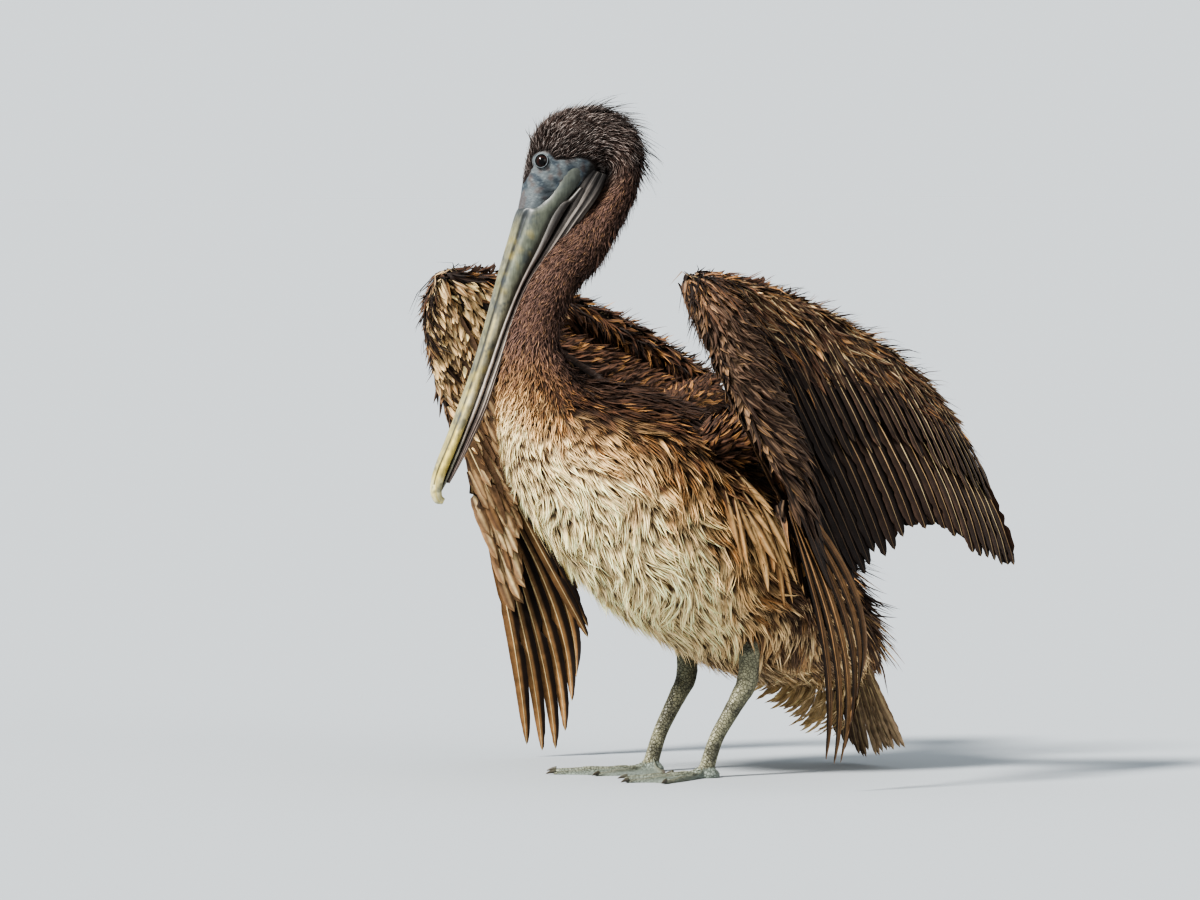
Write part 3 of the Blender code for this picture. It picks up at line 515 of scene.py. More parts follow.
def grow(patch, v, u, lie, sort, looks, rng, scale=1.0):
    """Feathers at these places. lie is the way each should point. looks gives root, tip, edge and
    shaft colours for each, and scale their sizes. The result is a chunk of mesh: points, faces,
    tints and two UV maps."""
    scale = np.broadcast_to(np.asarray(scale, float), v.shape)
    n = sort.strands
    v, u, lie, scale = (np.repeat(a, n, axis=0) for a in (v, u, lie, scale))
    looks = [np.repeat(np.broadcast_to(a, (len(v) // n, 3)), n, axis=0) for a in looks]
    count = len(v)
    home, normal, down, across = patch.look(v, u)
    home_v, home_u = v, u
    lie = unit(lie - normal * dot(lie, normal))
    beside = np.cross(normal, lie)
    turn = rng.normal(0, sort.spread, count)
    length = sort.length * scale * rng.uniform(0.78, 1.18, count)
    if n > 1:
        # The strands of a tuft start side by side and lean together.
        offset = (np.tile(np.arange(n), count // n) - (n - 1) / 2) * sort.gather * MM
        offset = offset + rng.normal(0, 0.25 * MM, count)
        shift_v, shift_u = patch.steps(down, across, beside)
        v = v + shift_v[:, 0] * offset
        u = u + shift_u[:, 0] * offset
        turn = turn * 0.4 + np.repeat(rng.normal(0, sort.spread, count // n), n)
        turn = turn - offset / length * sort.converge
    lie = lie * np.cos(turn)[:, None] + beside * np.sin(turn)[:, None]
    beside = np.cross(normal, lie)
    along_v, along_u = patch.steps(down, across, lie)
    side_v, side_u = patch.steps(down, across, beside)
    t = np.linspace(0, 1, sort.rows)
    # Neighbours bend the same way, each a little more or less.
    hook = 1.8 * wobble(home, 0.07, 16) + np.repeat(rng.normal(0, 0.35, count // n), n)
    hook = (hook + rng.normal(0, 0.2, count)) * sort.curl
    curl = hook[:, None] * t**2 * length[:, None]
    reach = length[:, None] * t
    points, normals, _, _ = patch.look(
        v[:, None] + along_v * reach + side_v * curl, u[:, None] + along_u * reach + side_u * curl)
    tall = length * np.abs(sort.lift * rng.uniform(0.35, 1.5, count))
    height = sort.rise + tall[:, None] * t**1.3
    middle = points + normals * height[..., None]
    side = unit(np.cross(unit(np.gradient(middle, axis=1)), normals))
    roll = rng.normal(0, sort.roll, count)[:, None, None]
    flat = side * np.cos(roll) + normals * np.sin(roll)
    across_at = np.linspace(-1, 1, sort.columns)
    half = SHAPES[sort.shape](t) * sort.width / 2
    half = (half[None] * scale[:, None] * rng.uniform(0.8, 1.2, count)[:, None])[..., None, None]
    verts = middle[:, :, None] + flat[:, :, None] * half * across_at[:, None]
    verts = verts - normals[:, :, None] * (half * sort.camber * across_at[:, None] ** 2)
    tint = np.broadcast_to(vane_tints(looks, t, across_at), verts.shape)
    tint = tint * rng.uniform(0.72, 1.22, count)[:, None, None, None]
    return chunk_of(verts, tint, *vane_maps(patch, home_v, home_u, reach, t, across_at))


def chunk_of(verts, tint, bake, barb):
    """Turns arrays of (feather, row, column) into one chunk with its faces."""
    count, rows, columns = verts.shape[:3]
    index = np.arange(count * rows * columns).reshape(count, rows, columns)
    faces = np.stack((index[:, :-1, :-1], index[:, :-1, 1:], index[:, 1:, 1:], index[:, 1:, :-1]), -1)
    return [verts.reshape(-1, 3), faces.reshape(-1, 4), np.clip(tint, 0, 1).reshape(-1, 3),
            bake.reshape(-1, 2), barb.reshape(-1, 2)]


def mirrored(chunk):
    """The same chunk on the bird's other side."""
    verts, faces, tint, bake, barb = chunk
    return [verts * (-1, 1, 1), faces[:, ::-1], tint, bake, barb]


# ---------------------------------------------------------------- mesh and material making


def ring_turns(sides, start=0.0):
    """The turns, in radians, of the points round a ring."""
    return 2 * math.pi * (np.arange(sides) + start) / sides


def capped(rings):
    """The rows of a tube of rings in one list, with the middles of its first and last ring at the end."""
    ends = [rings[0].mean(axis=0)[None], rings[-1].mean(axis=0)[None]]
    return np.concatenate([rings.reshape(-1, rings.shape[-1])] + ends)


def tube_faces(rows, sides):
    """Quads round a tube of rings, and fans over its two ends to the last two points."""
    index = np.arange(rows * sides).reshape(rows, sides)
    after = np.roll(index, -1, axis=1)
    faces = np.stack((index[:-1], after[:-1], after[1:], index[1:]), -1).reshape(-1, 4).tolist()
    first, last = rows * sides, rows * sides + 1
    faces += [[index[0, k], first, after[0, k]] for k in range(sides)]
    faces += [[index[-1, k], after[-1, k], last] for k in range(sides)]
    return faces


def closed_tube(rings, tints):
    """A capped tube's points, faces and tints from its rings."""
    return capped(rings), tube_faces(*rings.shape[:2]), capped(tints)


def turn_outward(mesh):
    """Turns the faces of a closed mesh to face outwards."""
    build = bmesh.new()
    build.from_mesh(mesh)
    bmesh.ops.recalc_face_normals(build, faces=build.faces)
    build.to_mesh(mesh)
    build.free()


def mesh_object(name, verts, faces, tint, look, uv=None):
    """A mesh piece from arrays. Faces are an array of quads, or a list of faces of any size."""
    mesh = bpy.data.meshes.new(name)
    if isinstance(faces, np.ndarray):
        sizes = np.full(len(faces), faces.shape[1])
        corners = faces.ravel()
    else:
        sizes = np.array([len(face) for face in faces])
        corners = np.concatenate([np.asarray(face) for face in faces])
    mesh.vertices.add(len(verts))
    mesh.vertices.foreach_set("co", (verts + OFFSET).astype(np.float32).ravel())
    mesh.loops.add(len(corners))
    mesh.loops.foreach_set("vertex_index", corners.astype(np.int32))
    mesh.polygons.add(len(sizes))
    starts = np.concatenate(((0,), np.cumsum(sizes)[:-1]))
    mesh.polygons.foreach_set("loop_start", starts.astype(np.int32))
    mesh.update(calc_edges=True)
    paint = mesh.color_attributes.new("Tint", "FLOAT_COLOR", "POINT")
    full = np.ones((len(verts), 4), np.float32)
    full[:, :3] = tint
    paint.data.foreach_set("color", full.ravel())
    for layer_name, values in (uv or {}).items():
        layer = mesh.uv_layers.new(name=layer_name)
        layer.data.foreach_set("uv", values[corners].astype(np.float32).ravel())
    mesh.polygons.foreach_set("use_smooth", np.ones(len(sizes), bool))
    mesh.update()
    mesh.validate()
    if uv is None:
        turn_outward(mesh)
    mesh.materials.append(look)
    piece = bpy.data.objects.new(name, mesh)
    bpy.context.scene.collection.objects.link(piece)
    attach(piece, "root")
    return piece


# No piece of the coat is bigger than this.
MOST_TRIANGLES = 190000


def coat_pieces(name, chunks, look):
    """Joins chunks, in order, into as few pieces as keep each under the most triangles."""
    batches, total = [[]], 0
    for chunk in chunks:
        count = len(chunk[1]) * 2
        if batches[-1] and total + count > MOST_TRIANGLES:
            batches.append([])
            total = 0
        batches[-1].append(chunk)
        total += count
    for number, batch in enumerate(batches, start=1):
        joined(f"{name}_{number}", batch, look)


def joined(name, batch, look):
    """One piece from several chunks."""
    verts, faces, tints, bakes, barbs = zip(*batch)
    bases = np.cumsum([0] + [len(points) for points in verts[:-1]])
    faces = np.concatenate([quads + base for quads, base in zip(faces, bases)])
    maps = {"OFBake": np.concatenate(bakes), "Barb": np.concatenate(barbs)}
    return mesh_object(name, np.concatenate(verts), faces, np.concatenate(tints), look, maps)


class Look:
    """A node material that starts from a piece's own tints."""

    def __init__(self, name, roughness, specular, **more):
        self.material = bpy.data.materials.new(name)
        self.material.use_nodes = True
        self.tree = self.material.node_tree
        self.surface = self.tree.nodes["Principled BSDF"]
        self.set(self.surface, {"Roughness": roughness, "Specular IOR Level": specular})
        self.set(self.surface, {key.replace("_", " ").title(): value for key, value in more.items()})
        self.tint = self.node("ShaderNodeAttribute", attribute_name="Tint").outputs["Color"]
        self.place = self.node("ShaderNodeTexCoord").outputs["Object"]

    def set(self, node, values):
        """Sets a node's own sockets."""
        for key, value in values.items():
            node.inputs[key].default_value = value

    def node(self, kind, values=None, **settings):
        """A new node with these socket values and settings."""
        made = self.tree.nodes.new(kind)
        for key, value in settings.items():
            setattr(made, key, value)
        self.set(made, values or {})
        return made

    def link(self, start, end):
        """Joins an output to an input."""
        self.tree.links.new(start, end)

    def noise(self, size, detail, vector=None):
        """A noise whose features are about this many metres across."""
        made = self.node("ShaderNodeTexNoise", {"Scale": 1 / size, "Detail": detail})
        self.link(vector or self.place, made.inputs["Vector"])
        return made.outputs["Fac"]

    def spread(self, value, values):
        """The value through a map range with these socket values."""
        made = self.node("ShaderNodeMapRange", values)
        self.link(value, made.inputs["Value"])
        return made.outputs["Result"]

    def ranged(self, value, low, high):
        """A noise's value, which is mostly from 0.3 to 0.7, stretched to run from low to high."""
        return self.spread(value, {"From Min": 0.3, "From Max": 0.7, "To Min": low, "To Max": high})

    def shade(self, base, value):
        """The base colour made lighter or darker by this value."""
        made = self.node("ShaderNodeVectorMath", operation="SCALE")
        self.link(base, made.inputs[0])
        self.link(value, made.inputs["Scale"])
        return made.outputs["Vector"]

    def bump(self, height, depth, strength):
        """Adds bumps this many metres deep, on top of any before."""
        made = self.node("ShaderNodeBump", {"Distance": depth, "Strength": strength})
        self.link(height, made.inputs["Height"])
        normal = self.surface.inputs["Normal"]
        if normal.links:
            self.link(normal.links[0].from_socket, made.inputs["Normal"])
        self.link(made.outputs["Normal"], normal)

    def finish(self, base):
        """Gives the surface its colour and returns the material."""
        self.link(base, self.surface.inputs["Base Color"])
        return self.material


def feather_look(name, roughness, barb_depth, mottle):
    """Feather vanes: their own tints, mottled, with fine barbs that slant off the shaft."""
    look = Look(name, roughness, 0.22, sheen_weight=0.05)
    uv = look.node("ShaderNodeUVMap", uv_map="Barb").outputs["UV"]
    wave = look.node("ShaderNodeTexWave", {"Scale": 0.35, "Distortion": 1.2, "Detail": 1.0},
                     wave_type="BANDS", bands_direction="X")
    look.link(uv, wave.inputs["Vector"])
    look.bump(wave.outputs["Fac"], barb_depth, 0.8)
    streak = look.ranged(wave.outputs["Fac"], 0.86, 1.10)
    patchy = look.ranged(look.noise(0.006, 3), 1 - mottle, 1 + mottle * 0.6)
    return look.finish(look.shade(look.shade(look.tint, streak), patchy))


# ---------------------------------------------------------------- the body, its skin and its coat

# Grid steps from slice to slice of the body, and round it.
BODY_STEPS = 12
BODY_SIDES = 96
# The edge of the bare face: how far forward the feathers reach at each depth below the bill's top line.
FACE_EDGE_BELOW = (-1.2, -0.35, -0.2, -0.05, 0.25, 1.2, 1.7, 2.6, 3.8, 4.6, 5.4, 6.0, 6.5, 7.1)
FACE_EDGE_FORWARD = (0.4, 0.2, -1.6, -2.9, -4.3, -4.35, -4.1, -4.45, -4.95, -5.0, -4.8, -4.4, -3.4, -2.8)
# How far round the eye the skin is bare, and the slice before which the whole bare face lies.
EYE_RING = 0.90
FACE_END = 6.5
# Where the cream below and the dark above end at each slice, as the cosine of the turn from the back.
CREAM_SLICES = (14.4, 15.0, 15.5, 16.3, 17.5, 18.7, 19.4, 20.2, 20.8, 22.0, 25.0)
CREAM_EDGES = (-1.25, -0.98, -0.66, -0.28, -0.12, -0.10, -0.28, -0.66, -0.92, -0.90, -0.80)
DARK_SLICES = (14, 15.5, 17.5, 19.5, 22, 25)
DARK_EDGES = (0.55, 0.50, 0.66, 0.80, 0.55, 0.45)
# How deep the skin lies under the coat's outline at each slice, in millimetres, and where it is bare.
SKIN_SLICES = (0, 3, 7, 12, 16, 25)
SKIN_DEPTHS = (1.2, 2.0, 2.6, 3.0, 5.0, 6.0)
BARE_DEPTH = 0.4
# How much of its colour the coat's under layer keeps: painted shade, so that it reads dark down between the
# tufts.
SHADE_BETWEEN_TUFTS = np.array((0.18, 0.13, 0.095))


def body_patch(head):
    """The outline of head, neck and trunk as one tube, its first side along the back."""
    rows = smooth(body_rows(head), BODY_STEPS)
    turns = ring_turns(BODY_SIDES)
    rise = rows[:, None, 3:6] * np.cos(turns)[:, None]
    side = rows[:, None, 6:9] * np.sin(turns)[:, None]
    return Patch(rows[:, None, :3] + rise + side, wrap=True)


def bare_face(head, points):
    """How bare of feathers the face is here: 0 where feathers grow, 1 well inside the bare skin."""
    forward, below, _ = head.local(points)
    edge = np.interp(below, FACE_EDGE_BELOW, FACE_EDGE_FORWARD)
    side = ramp(forward - edge, -0.08, 0.12)
    ring = np.hypot(forward - EYE_FORWARD, below - EYE_BELOW_CROWN_LINE)
    return np.maximum(side, 1 - ramp(ring, EYE_RING - 0.05, EYE_RING + 0.08)) * (forward > -6.0)


def trunk_paint(v, back, streak, points, random):
    """Root and tip colours on the trunk: dark above, gold along its side and cream below."""
    patchy = wobble(points, 0.035, 3)
    edge = np.interp(v, CREAM_SLICES, CREAM_EDGES)
    away = edge + 0.12 * patchy + 0.08 * streak + 0.42 * (random - 0.5) - back
    cream = ramp(away, -0.14, 0.26)
    gold = np.exp(-(((away + 0.12) / 0.30) ** 2))
    rear = ramp(v, 19.6, 21.4)
    flash = np.mod(random * 7.31, 1.0)
    upper = mix(mix(RUST, UMBER, 0.45), BLACK_BROWN, ramp(flash, 0.10, 0.75) * 0.9)
    upper = mix(upper, mix(GREY_BROWN, UMBER, random), rear * 0.85)
    upper = mix(upper, BUFF, rear * ramp(random, 0.35, 0.75) * 0.85)
    # Towards the rear the cream turns greyer; on the very underside, which faces the ground, it is also
    # greyed as painted shade.
    pale = mix(CREAM, CREAM_GREY, rear * 0.5 + 0.35 * ramp(-back, 0.85, 1.0) * ramp(v, 18.5, 20.5))
    tip = mix(upper, pale, cream)
    tip = mix(tip, STRAW, gold * (1 - 0.6 * rear) * ramp(flash, 0.05, 0.60) * 0.92)
    glint = (flash < 0.12) * (1 - cream) * (1 - rear)
    tip = mix(tip, mix(RUST, GOLD, 0.5), glint * 0.8)
    tip = mix(tip, pale, rear * ramp(random, 0.62, 0.8) * ramp(0.55 - back, 0.0, 0.5) * 0.75)
    dark = ramp(back + 0.05 * patchy - np.interp(v, DARK_SLICES, DARK_EDGES), -0.08, 0.12)
    tip = mix(tip, mix(BLACK_BROWN, RUST, 0.25 * random), dark * 0.92)
    # The roots are dark: partly the down's own colour, partly painted shade deep in the coat between the
    # tufts.
    root = mix(UNDER_BROWN, BLACK_BROWN, 0.40 + 0.60 * ramp(back, 0.2, 0.7))
    return mix(root, mix(UNDER_BROWN, TAUPE, 0.22), cream), tip


def neck_paint(v, back, random):
    """Tip colours on the neck: mauve brown, dark down the nape and golden down the front."""
    front = ramp(-back, -0.55, 0.45)
    tip = mix(MAUVE_BROWN * 0.9, GOLD, ramp(v, 13.4, 14.9) * front * (0.1 + 0.6 * random))
    tip = mix(tip, MAUVE_DARK, ramp(back, -0.2, 0.9) * 0.65)
    lit = ramp(random, 0.72, 0.95) * (1 - ramp(back, 0.2, 0.8))
    return mix(tip, mix(BUFF, MAUVE_BROWN, 0.3), lit * 0.6)


def body_paint(v, turn, points, random):
    """Root and tip colours of the coat at these places on the body. v is in slices, and random is a
    number from 0 to 1 for each feather."""
    back = np.cos(turn)
    streak = wobble(points, 0.012, 4)
    root, tip = trunk_paint(v, back, streak, points, random)
    chest = ramp(v + 0.25 * streak, 13.9, 15.1)
    tip = mix(neck_paint(v, back, random), tip, chest)
    # Dark neck roots: partly their own colour, partly painted shade between the feathers.
    root = mix(MAUVE_DARK * 0.45, root, chest)
    crown = 1 - ramp(v + 0.8 * wobble(points, 0.035, 3), 6.0, 9.0)
    hair = mix(CROWN_DARK * 0.7, mix(CROWN_GREY, BUFF, 0.05), ramp(random, 0.45, 0.95))
    tip = mix(tip, mix(hair, MAUVE_BROWN, 0.15), crown)
    # Crown roots nearly black: partly their own colour, partly painted shade between the bristles.
    return mix(root, CROWN_DARK * 0.35, crown), tip


def face_paint(points, forward, below):
    """Colours of the bare face: grey and blue, mottled, and dark before the eye and at the throat."""
    face = mix(FACE_GREY * 0.42, FACE_BLUE * 0.30, ramp(wobble(points, 0.014, 5), -0.2, 0.8))
    face = mix(face, MAUVE_BROWN * 0.42, ramp(wobble(points, 0.010, 7), 0.1, 0.9) * 0.5)
    face = mix(face, FACE_PALE * 0.60, ramp(wobble(points, 0.004, 6), 0.5, 1.1) * 0.35)
    spot = np.hypot(forward + 0.9, below - 1.9)
    face = mix(face, FACE_BLUE * 0.14, np.exp(-((spot / 0.75) ** 2)) * 0.85)
    return mix(face, POUCH_DARK * 0.35, ramp(below, 4.6, 5.2))


def body_skin(head, patch):
    """The skin under the coat, with the bare face and its folds, closed into the bill's base."""
    rows, sides = patch.grid.shape[:2]
    v = np.arange(rows)[:, None] / BODY_STEPS * np.ones((1, sides))
    turn = np.ones((rows, 1)) * ring_turns(sides)
    bare = bare_face(head, patch.grid) * (v < FACE_END)
    depth = np.interp(v, SKIN_SLICES, SKIN_DEPTHS) * MM
    depth = depth * (1 - bare) + BARE_DEPTH * MM * bare
    forward, below, _ = head.local(patch.grid)
    fold = np.sin(forward * 7.0 + below * 3.0 + 2.0 * wobble(patch.grid, 0.012, 9))
    fold = fold * 0.30 * MM * bare * ramp(below, 0.9, 1.6)
    points = patch.grid - patch.normal * (depth - fold)[..., None]
    # The skin takes the coat's dark root colour, partly painted shade where it shows between the feathers.
    root, tip = body_paint(v, turn, patch.grid, np.full(v.shape, 0.5))
    tint = mix(root, tip, np.full(v.shape, 0.30))
    tint = mix(tint, face_paint(patch.grid, forward, below), bare)
    snout = []
    middle = points[0].mean(axis=0)
    # Narrower rings close the skin inside the bill's base.
    for reach in (2.0, 1.5, 1.0, 0.5):
        narrowed = middle + (points[0] - middle) * (1 - 0.05 * reach**1.5)
        snout.append(narrowed + head.bill * reach * CM)
    points = np.concatenate((np.array(snout), points))
    tint = np.concatenate((np.repeat(tint[:1], len(snout), axis=0), tint))
    return closed_tube(points, tint)


def body_lie(patch, v, u):
    """The way the body's feathers point: from the bill to the tail, and hanging on the trunk."""
    points, normal, down, _ = patch.look(v, u)
    hang = np.array((0.0, 0.0, -1.0)) + normal * normal[..., 2:3]
    weight = ramp(v / BODY_STEPS, 14.5, 17.0)[..., None]
    sway = wobble(points, 0.06, 14)[..., None] * 0.18 + wobble(points, 0.02, 15)[..., None] * 0.05
    lie = unit(down) * (1 - 0.25 * weight) + hang * 0.75 * weight
    return lie + np.cross(normal, lie) * sway


def around(low, high=2.0, patches=None):
    """Lets feathers grow where the cosine of the turn from the back is between low and high. patches
    adds a size and a seed for wobble(), and the least value of it that has feathers."""

    def where(slices, turn, points):
        back = np.cos(turn)
        kept = (back > low) & (back < high)
        if patches:
            size, seed, least = patches
            kept &= wobble(points, size, seed) > least
        return kept

    return where


def tract(head, patch, rng, span, spacing, sort, where=None, scale=None, darker=1.0):
    """Feathers of one sort over part of the body. span is in slices. where(slices, turn, points) says
    whether a feather grows at a place, and scale says its size in the same way."""

    def keep(v, u, points):
        slices = v / BODY_STEPS
        turn = u / BODY_SIDES * 2 * math.pi
        kept = (slices > span[0]) & (slices < span[1])
        kept &= bare_face(head, points) * (slices < FACE_END) < 0.4
        if where is not None:
            kept &= where(slices, turn, points)
        return kept

    v, u = patch.sow(spacing, rng, keep)
    points = patch.look(v, u)[0]
    turn = u / BODY_SIDES * 2 * math.pi
    slices = v / BODY_STEPS
    root, tip = body_paint(slices, turn, points, rng.random(len(v)))
    size = 1.0 if scale is None else scale(slices, turn, points)
    tip = tip * darker
    return grow(patch, v, u, body_lie(patch, v, u), sort, (root, tip, tip * 1.1, tip), rng, size)


def head_and_neck_coat(head, patch, rng):
    """Short bristles on the head, velvet on the neck, and loose hackles down the nape."""

    def crown_size(slices, turn, points):
        size = 0.55 + 0.45 * ramp(slices, 0.3, 2.5)
        return size * (1 + 0.35 * ramp(np.cos(turn), 0.3, 0.9) * ramp(slices, 2.0, 4.0))

    def some(span, spacing, sort, where=None, **more):
        """Feathers of one sort, spacing in millimetres."""
        return tract(head, patch, rng, span, spacing * MM, sort, where, **more)

    bristle = Grown(6.8 * MM, 0.70 * MM, rows=4, lift=0.50, curl=0.09, spread=0.24, roll=0.5, rise=-1.0 * MM)
    velvet = Grown(6.8 * MM, 0.9 * MM, rows=4, lift=0.24, curl=0.12, spread=0.24, roll=0.5, rise=-1.6 * MM)
    collar = Grown(11 * MM, 1.3 * MM, rows=5, lift=0.24, curl=0.20, spread=0.26, roll=0.5, rise=-2.2 * MM)
    hackle = Grown(15 * MM, 1.0 * MM, rows=6, lift=0.62, curl=0.35, spread=0.35, roll=0.6, rise=-1.0 * MM)
    wisp = Grown(23 * MM, 1.2 * MM, rows=7, lift=0.70, curl=0.25, spread=0.30, roll=0.6, rise=-1.0 * MM)
    fringe = Grown(10 * MM, 0.9 * MM, rows=5, lift=0.55, curl=0.3, spread=0.3, roll=0.6, rise=-1.0 * MM)
    return [
        some((0.02, 7.6), 1.30, bristle, scale=crown_size),
        some((7.2, 13.4), 1.6, velvet),
        some((12.8, 15.4), 2.2, collar),
        some((2.0, 8.0), 3.2, hackle, around(0.35, patches=(0.02, 6, -0.1)), darker=0.6),
        some((4.9, 8.4), 5.0, wisp, around(0.66), darker=0.25),
        some((7.5, 15.0), 2.8, fringe, around(0.3)),
    ]


def plumes(patch, rng, span, spacing, sort, where, dark, pale):
    """Long lance-shaped feathers, from dark to pale, that lie over the coat."""

    def keep(v, u, points):
        slices, turn = v / BODY_STEPS, u / BODY_SIDES * 2 * math.pi
        return (slices > span[0]) & (slices < span[1]) & where(slices, turn, points)

    v, u = patch.sow(spacing, rng, keep)
    random = rng.random(len(v))
    tip = mix(dark, pale, random)
    looks = (np.broadcast_to(UMBER, tip.shape), tip, mix(tip, RUST, 0.5), mix(pale, CREAM, 0.5 * random))
    return grow(patch, v, u, body_lie(patch, v, u), sort, looks, rng)


def trunk_coat(head, patch, rng):
    """Wet-looking pointed tufts over breast, flanks and belly, and spiky ones on back and rump."""

    def size(slices, turn, points):
        grown = 0.62 + 0.38 * ramp(slices, 15.0, 18.0) + 0.35 * ramp(slices, 20.5, 23.5)
        return grown * (1 + 0.15 * wobble(points, 0.03, 8))

    def some(span, spacing, sort, where, scale=None, darker=1.0):
        """Feathers of one sort, spacing in millimetres."""
        return tract(head, patch, rng, span, spacing * MM, sort, where, scale, darker)

    under = Grown(17 * MM, 4.4 * MM, rows=4, columns=3, shape="lance", lift=0.05, rise=-4.5 * MM,
                  camber=0.3, roll=0.15)
    tuft = Grown(20 * MM, 1.55 * MM, rows=7, lift=0.16, rise=-4.2 * MM, curl=0.16, spread=0.07,
                 roll=0.3, strands=5, gather=2.0, converge=0.5)
    top = Grown(25 * MM, 1.65 * MM, rows=7, lift=0.28, rise=-3.8 * MM, curl=0.24, spread=0.09,
                roll=0.3, strands=5, gather=1.9, converge=0.7)
    mantle = Grown(24 * MM, 3.0 * MM, rows=6, columns=3, shape="lance", lift=0.22, rise=-4.0 * MM,
                   camber=0.3, spread=0.2, roll=0.4, strands=2, gather=2.0, converge=0.5)
    spike = Grown(38 * MM, 2.6 * MM, rows=6, lift=0.55, rise=-3.0 * MM, curl=0.15, spread=0.25,
                  roll=0.5, strands=3, gather=1.2, converge=0.8)
    plume = Grown(64 * MM, 9 * MM, rows=10, columns=5, shape="lance", lift=0.07, rise=1.0 * MM,
                  camber=0.5, spread=0.10, roll=0.35, curl=0.06)
    under_rump = Grown(34 * MM, 6 * MM, rows=8, columns=5, shape="lance", lift=0.08, rise=-3.0 * MM,
                       camber=0.5, spread=0.14, roll=0.35, curl=0.08)

    chunks = []
    for left in (True, False):

        def here(slices, turn, points, left=left):
            return (np.cos(turn) < 0.62) & ((turn < math.pi) == left)

        # The under layer is darkened as painted shade between the tufts.
        chunks.append(some((14.6, 24.9), 5.3, under, here, size, SHADE_BETWEEN_TUFTS))
        for span in ((14.3, 19.0), (19.0, 24.9)):
            chunks.append(some(span, 7.6, tuft, here, size, 0.90))
            chunks.append(some(span, 9.4, top, here, size, 1.20))
    chunks.append(some((14.8, 24.9), 5.2, mantle, around(0.5)))
    chunks.append(some((20.5, 24.6), 11.0, spike, around(0.2, patches=(0.03, 12, -0.2))))
    rusty, golden = mix(GOLD, RUST, 0.6), mix(STRAW, GOLD, 0.30)
    chunks.append(plumes(patch, rng, (18.5, 19.8), 12.5 * MM, plume, around(0.12, 0.50), rusty, golden))
    dull = mix(BUFF, UMBER, 0.4)
    chunks.append(plumes(patch, rng, (21.4, 24.0), 8.0 * MM, under_rump, around(-2.0, 0.0), dull, CREAM))
    return chunks


# ---------------------------------------------------------------- wings


class WingSheet:
    """The middle surface of the left wing: row number along the wing, 0 to 1 down each feather."""

    def __init__(self):
        rows = []
        for edge, tip, swell, bow in WING_ROWS:
            rows.append((*place(*edge), *place(*tip), swell * CM, bow * CM))
        rows = np.array(rows)
        spans = (rows[: ELBOW_ROW + 1], rows[ELBOW_ROW : WRIST_ROW + 1], rows[WRIST_ROW:])
        self.parts = [np.vstack((2 * r[0] - r[1], r, 2 * r[-1] - r[-2])) for r in spans]
        self.starts = [SHOULDER_ROW, ELBOW_ROW, WRIST_ROW]

    def row(self, along, part):
        """The line down the feathers at this row: both its ends, its swell and its bow."""
        return curve_at(self.parts[part], along - self.starts[part])

    def at(self, along, down, part=None):
        """The point at this row and this far down. part is 0 to the elbow, 1 to the wrist, 2 beyond."""
        if part is None:
            part = 2 if along >= WRIST_ROW else 1 if along >= ELBOW_ROW else 0
        row = self.row(along, part)
        edge, tip = row[:3], row[3:6]
        outward = np.array((*row[6:8], 0.0))
        return edge + (tip - edge) * down + outward * (4 * down * (1 - down))


def fan_line(sheet, line, down, gather, shift, bow):
    """A place on one of the lines that part the long primaries: line 0 is the innermost. gather draws
    the tips together, shift moves them forward and up, and bow bends the feathers backwards."""
    share = line / len(LONG_PRIMARIES)
    root = place(*FAN_ROOT_INNER) * (1 - share) + place(*FAN_ROOT_OUTER) * share
    span = HAND_ROW - INNER_PRIMARIES_END
    own, outermost = (sheet.at(INNER_PRIMARIES_END + span * part, 1.0) for part in (share, 1))
    tip = own * (1 - gather) + outermost * gather + place(0.0, *shift)
    tip[2] = max(tip[2], TIP_CLEARANCE)
    swell = place(FAN_SWELL, -bow * (1 - 0.75 * share), 0.0) * 4.4 * down**1.25 * (1 - down)
    return root + (tip - root) * down + swell


def sheet_faces(sheet, part, first, last, down_to, thickness, inset):
    """The outer and inner faces of part of the wing as two patches, rows running down the feathers.
    thickness(down) is the solid's half thickness in centimetres, and inset draws both faces in."""
    along = np.linspace(first, last, 49)
    downs = np.linspace(0.0, down_to, 25) ** 1.3 / down_to**0.3
    middle = np.array([[sheet.at(a, d, part) for a in along] for d in downs])
    normal = unit(np.cross(np.gradient(middle, axis=1), np.gradient(middle, axis=0)))
    normal = np.where(normal[..., :1] < 0, -normal, normal)
    for _ in range(4):
        normal[:, 1:-1] = unit(normal[:, :-2] + 2 * normal[:, 1:-1] + normal[:, 2:])
    half = np.array([max(thickness(d) - inset, 0.06) for d in downs])[:, None, None] * CM
    return face_out(Patch(middle + normal * half), normal), face_out(Patch(middle - normal * half), -normal)


def face_out(patch, normal):
    """The patch with its normals turned to agree with these."""
    if np.mean(dot(patch.normal, normal)) < 0:
        patch.normal = -patch.normal
        patch.table[..., 3:6] *= -1
    return patch


def coverts_half(down):
    """Half the thickness of the forearm and the coverts over it, this far down the wing."""
    u = down / FOREARM_COVERTS
    if u < 0.12:
        return 0.35 + 1.2 * math.sqrt(u / 0.12)
    if u < 1:
        return 1.55 - 1.2 * ((u - 0.12) / 0.88) ** 0.8
    return 0.30


def feathered_half(down):
    """Half the thickness down the forearm and on over the secondaries' vanes."""
    return coverts_half(down) if down < 0.45 else 0.42


def tertial_half(down):
    """Half the thickness of the inner wing's tertials."""
    return 0.5 - 0.3 * down


def hand_half(down):
    """Half the thickness of the hand and the coverts below it."""
    return 1.1 - 1.1 * down


def slab_skin(outer, inner):
    """A closed thin body between two faces, as points and faces."""
    rings = np.swapaxes(np.concatenate((outer.grid, inner.grid[::-1]), axis=0), 0, 1)
    return capped(rings), tube_faces(*rings.shape[:2])


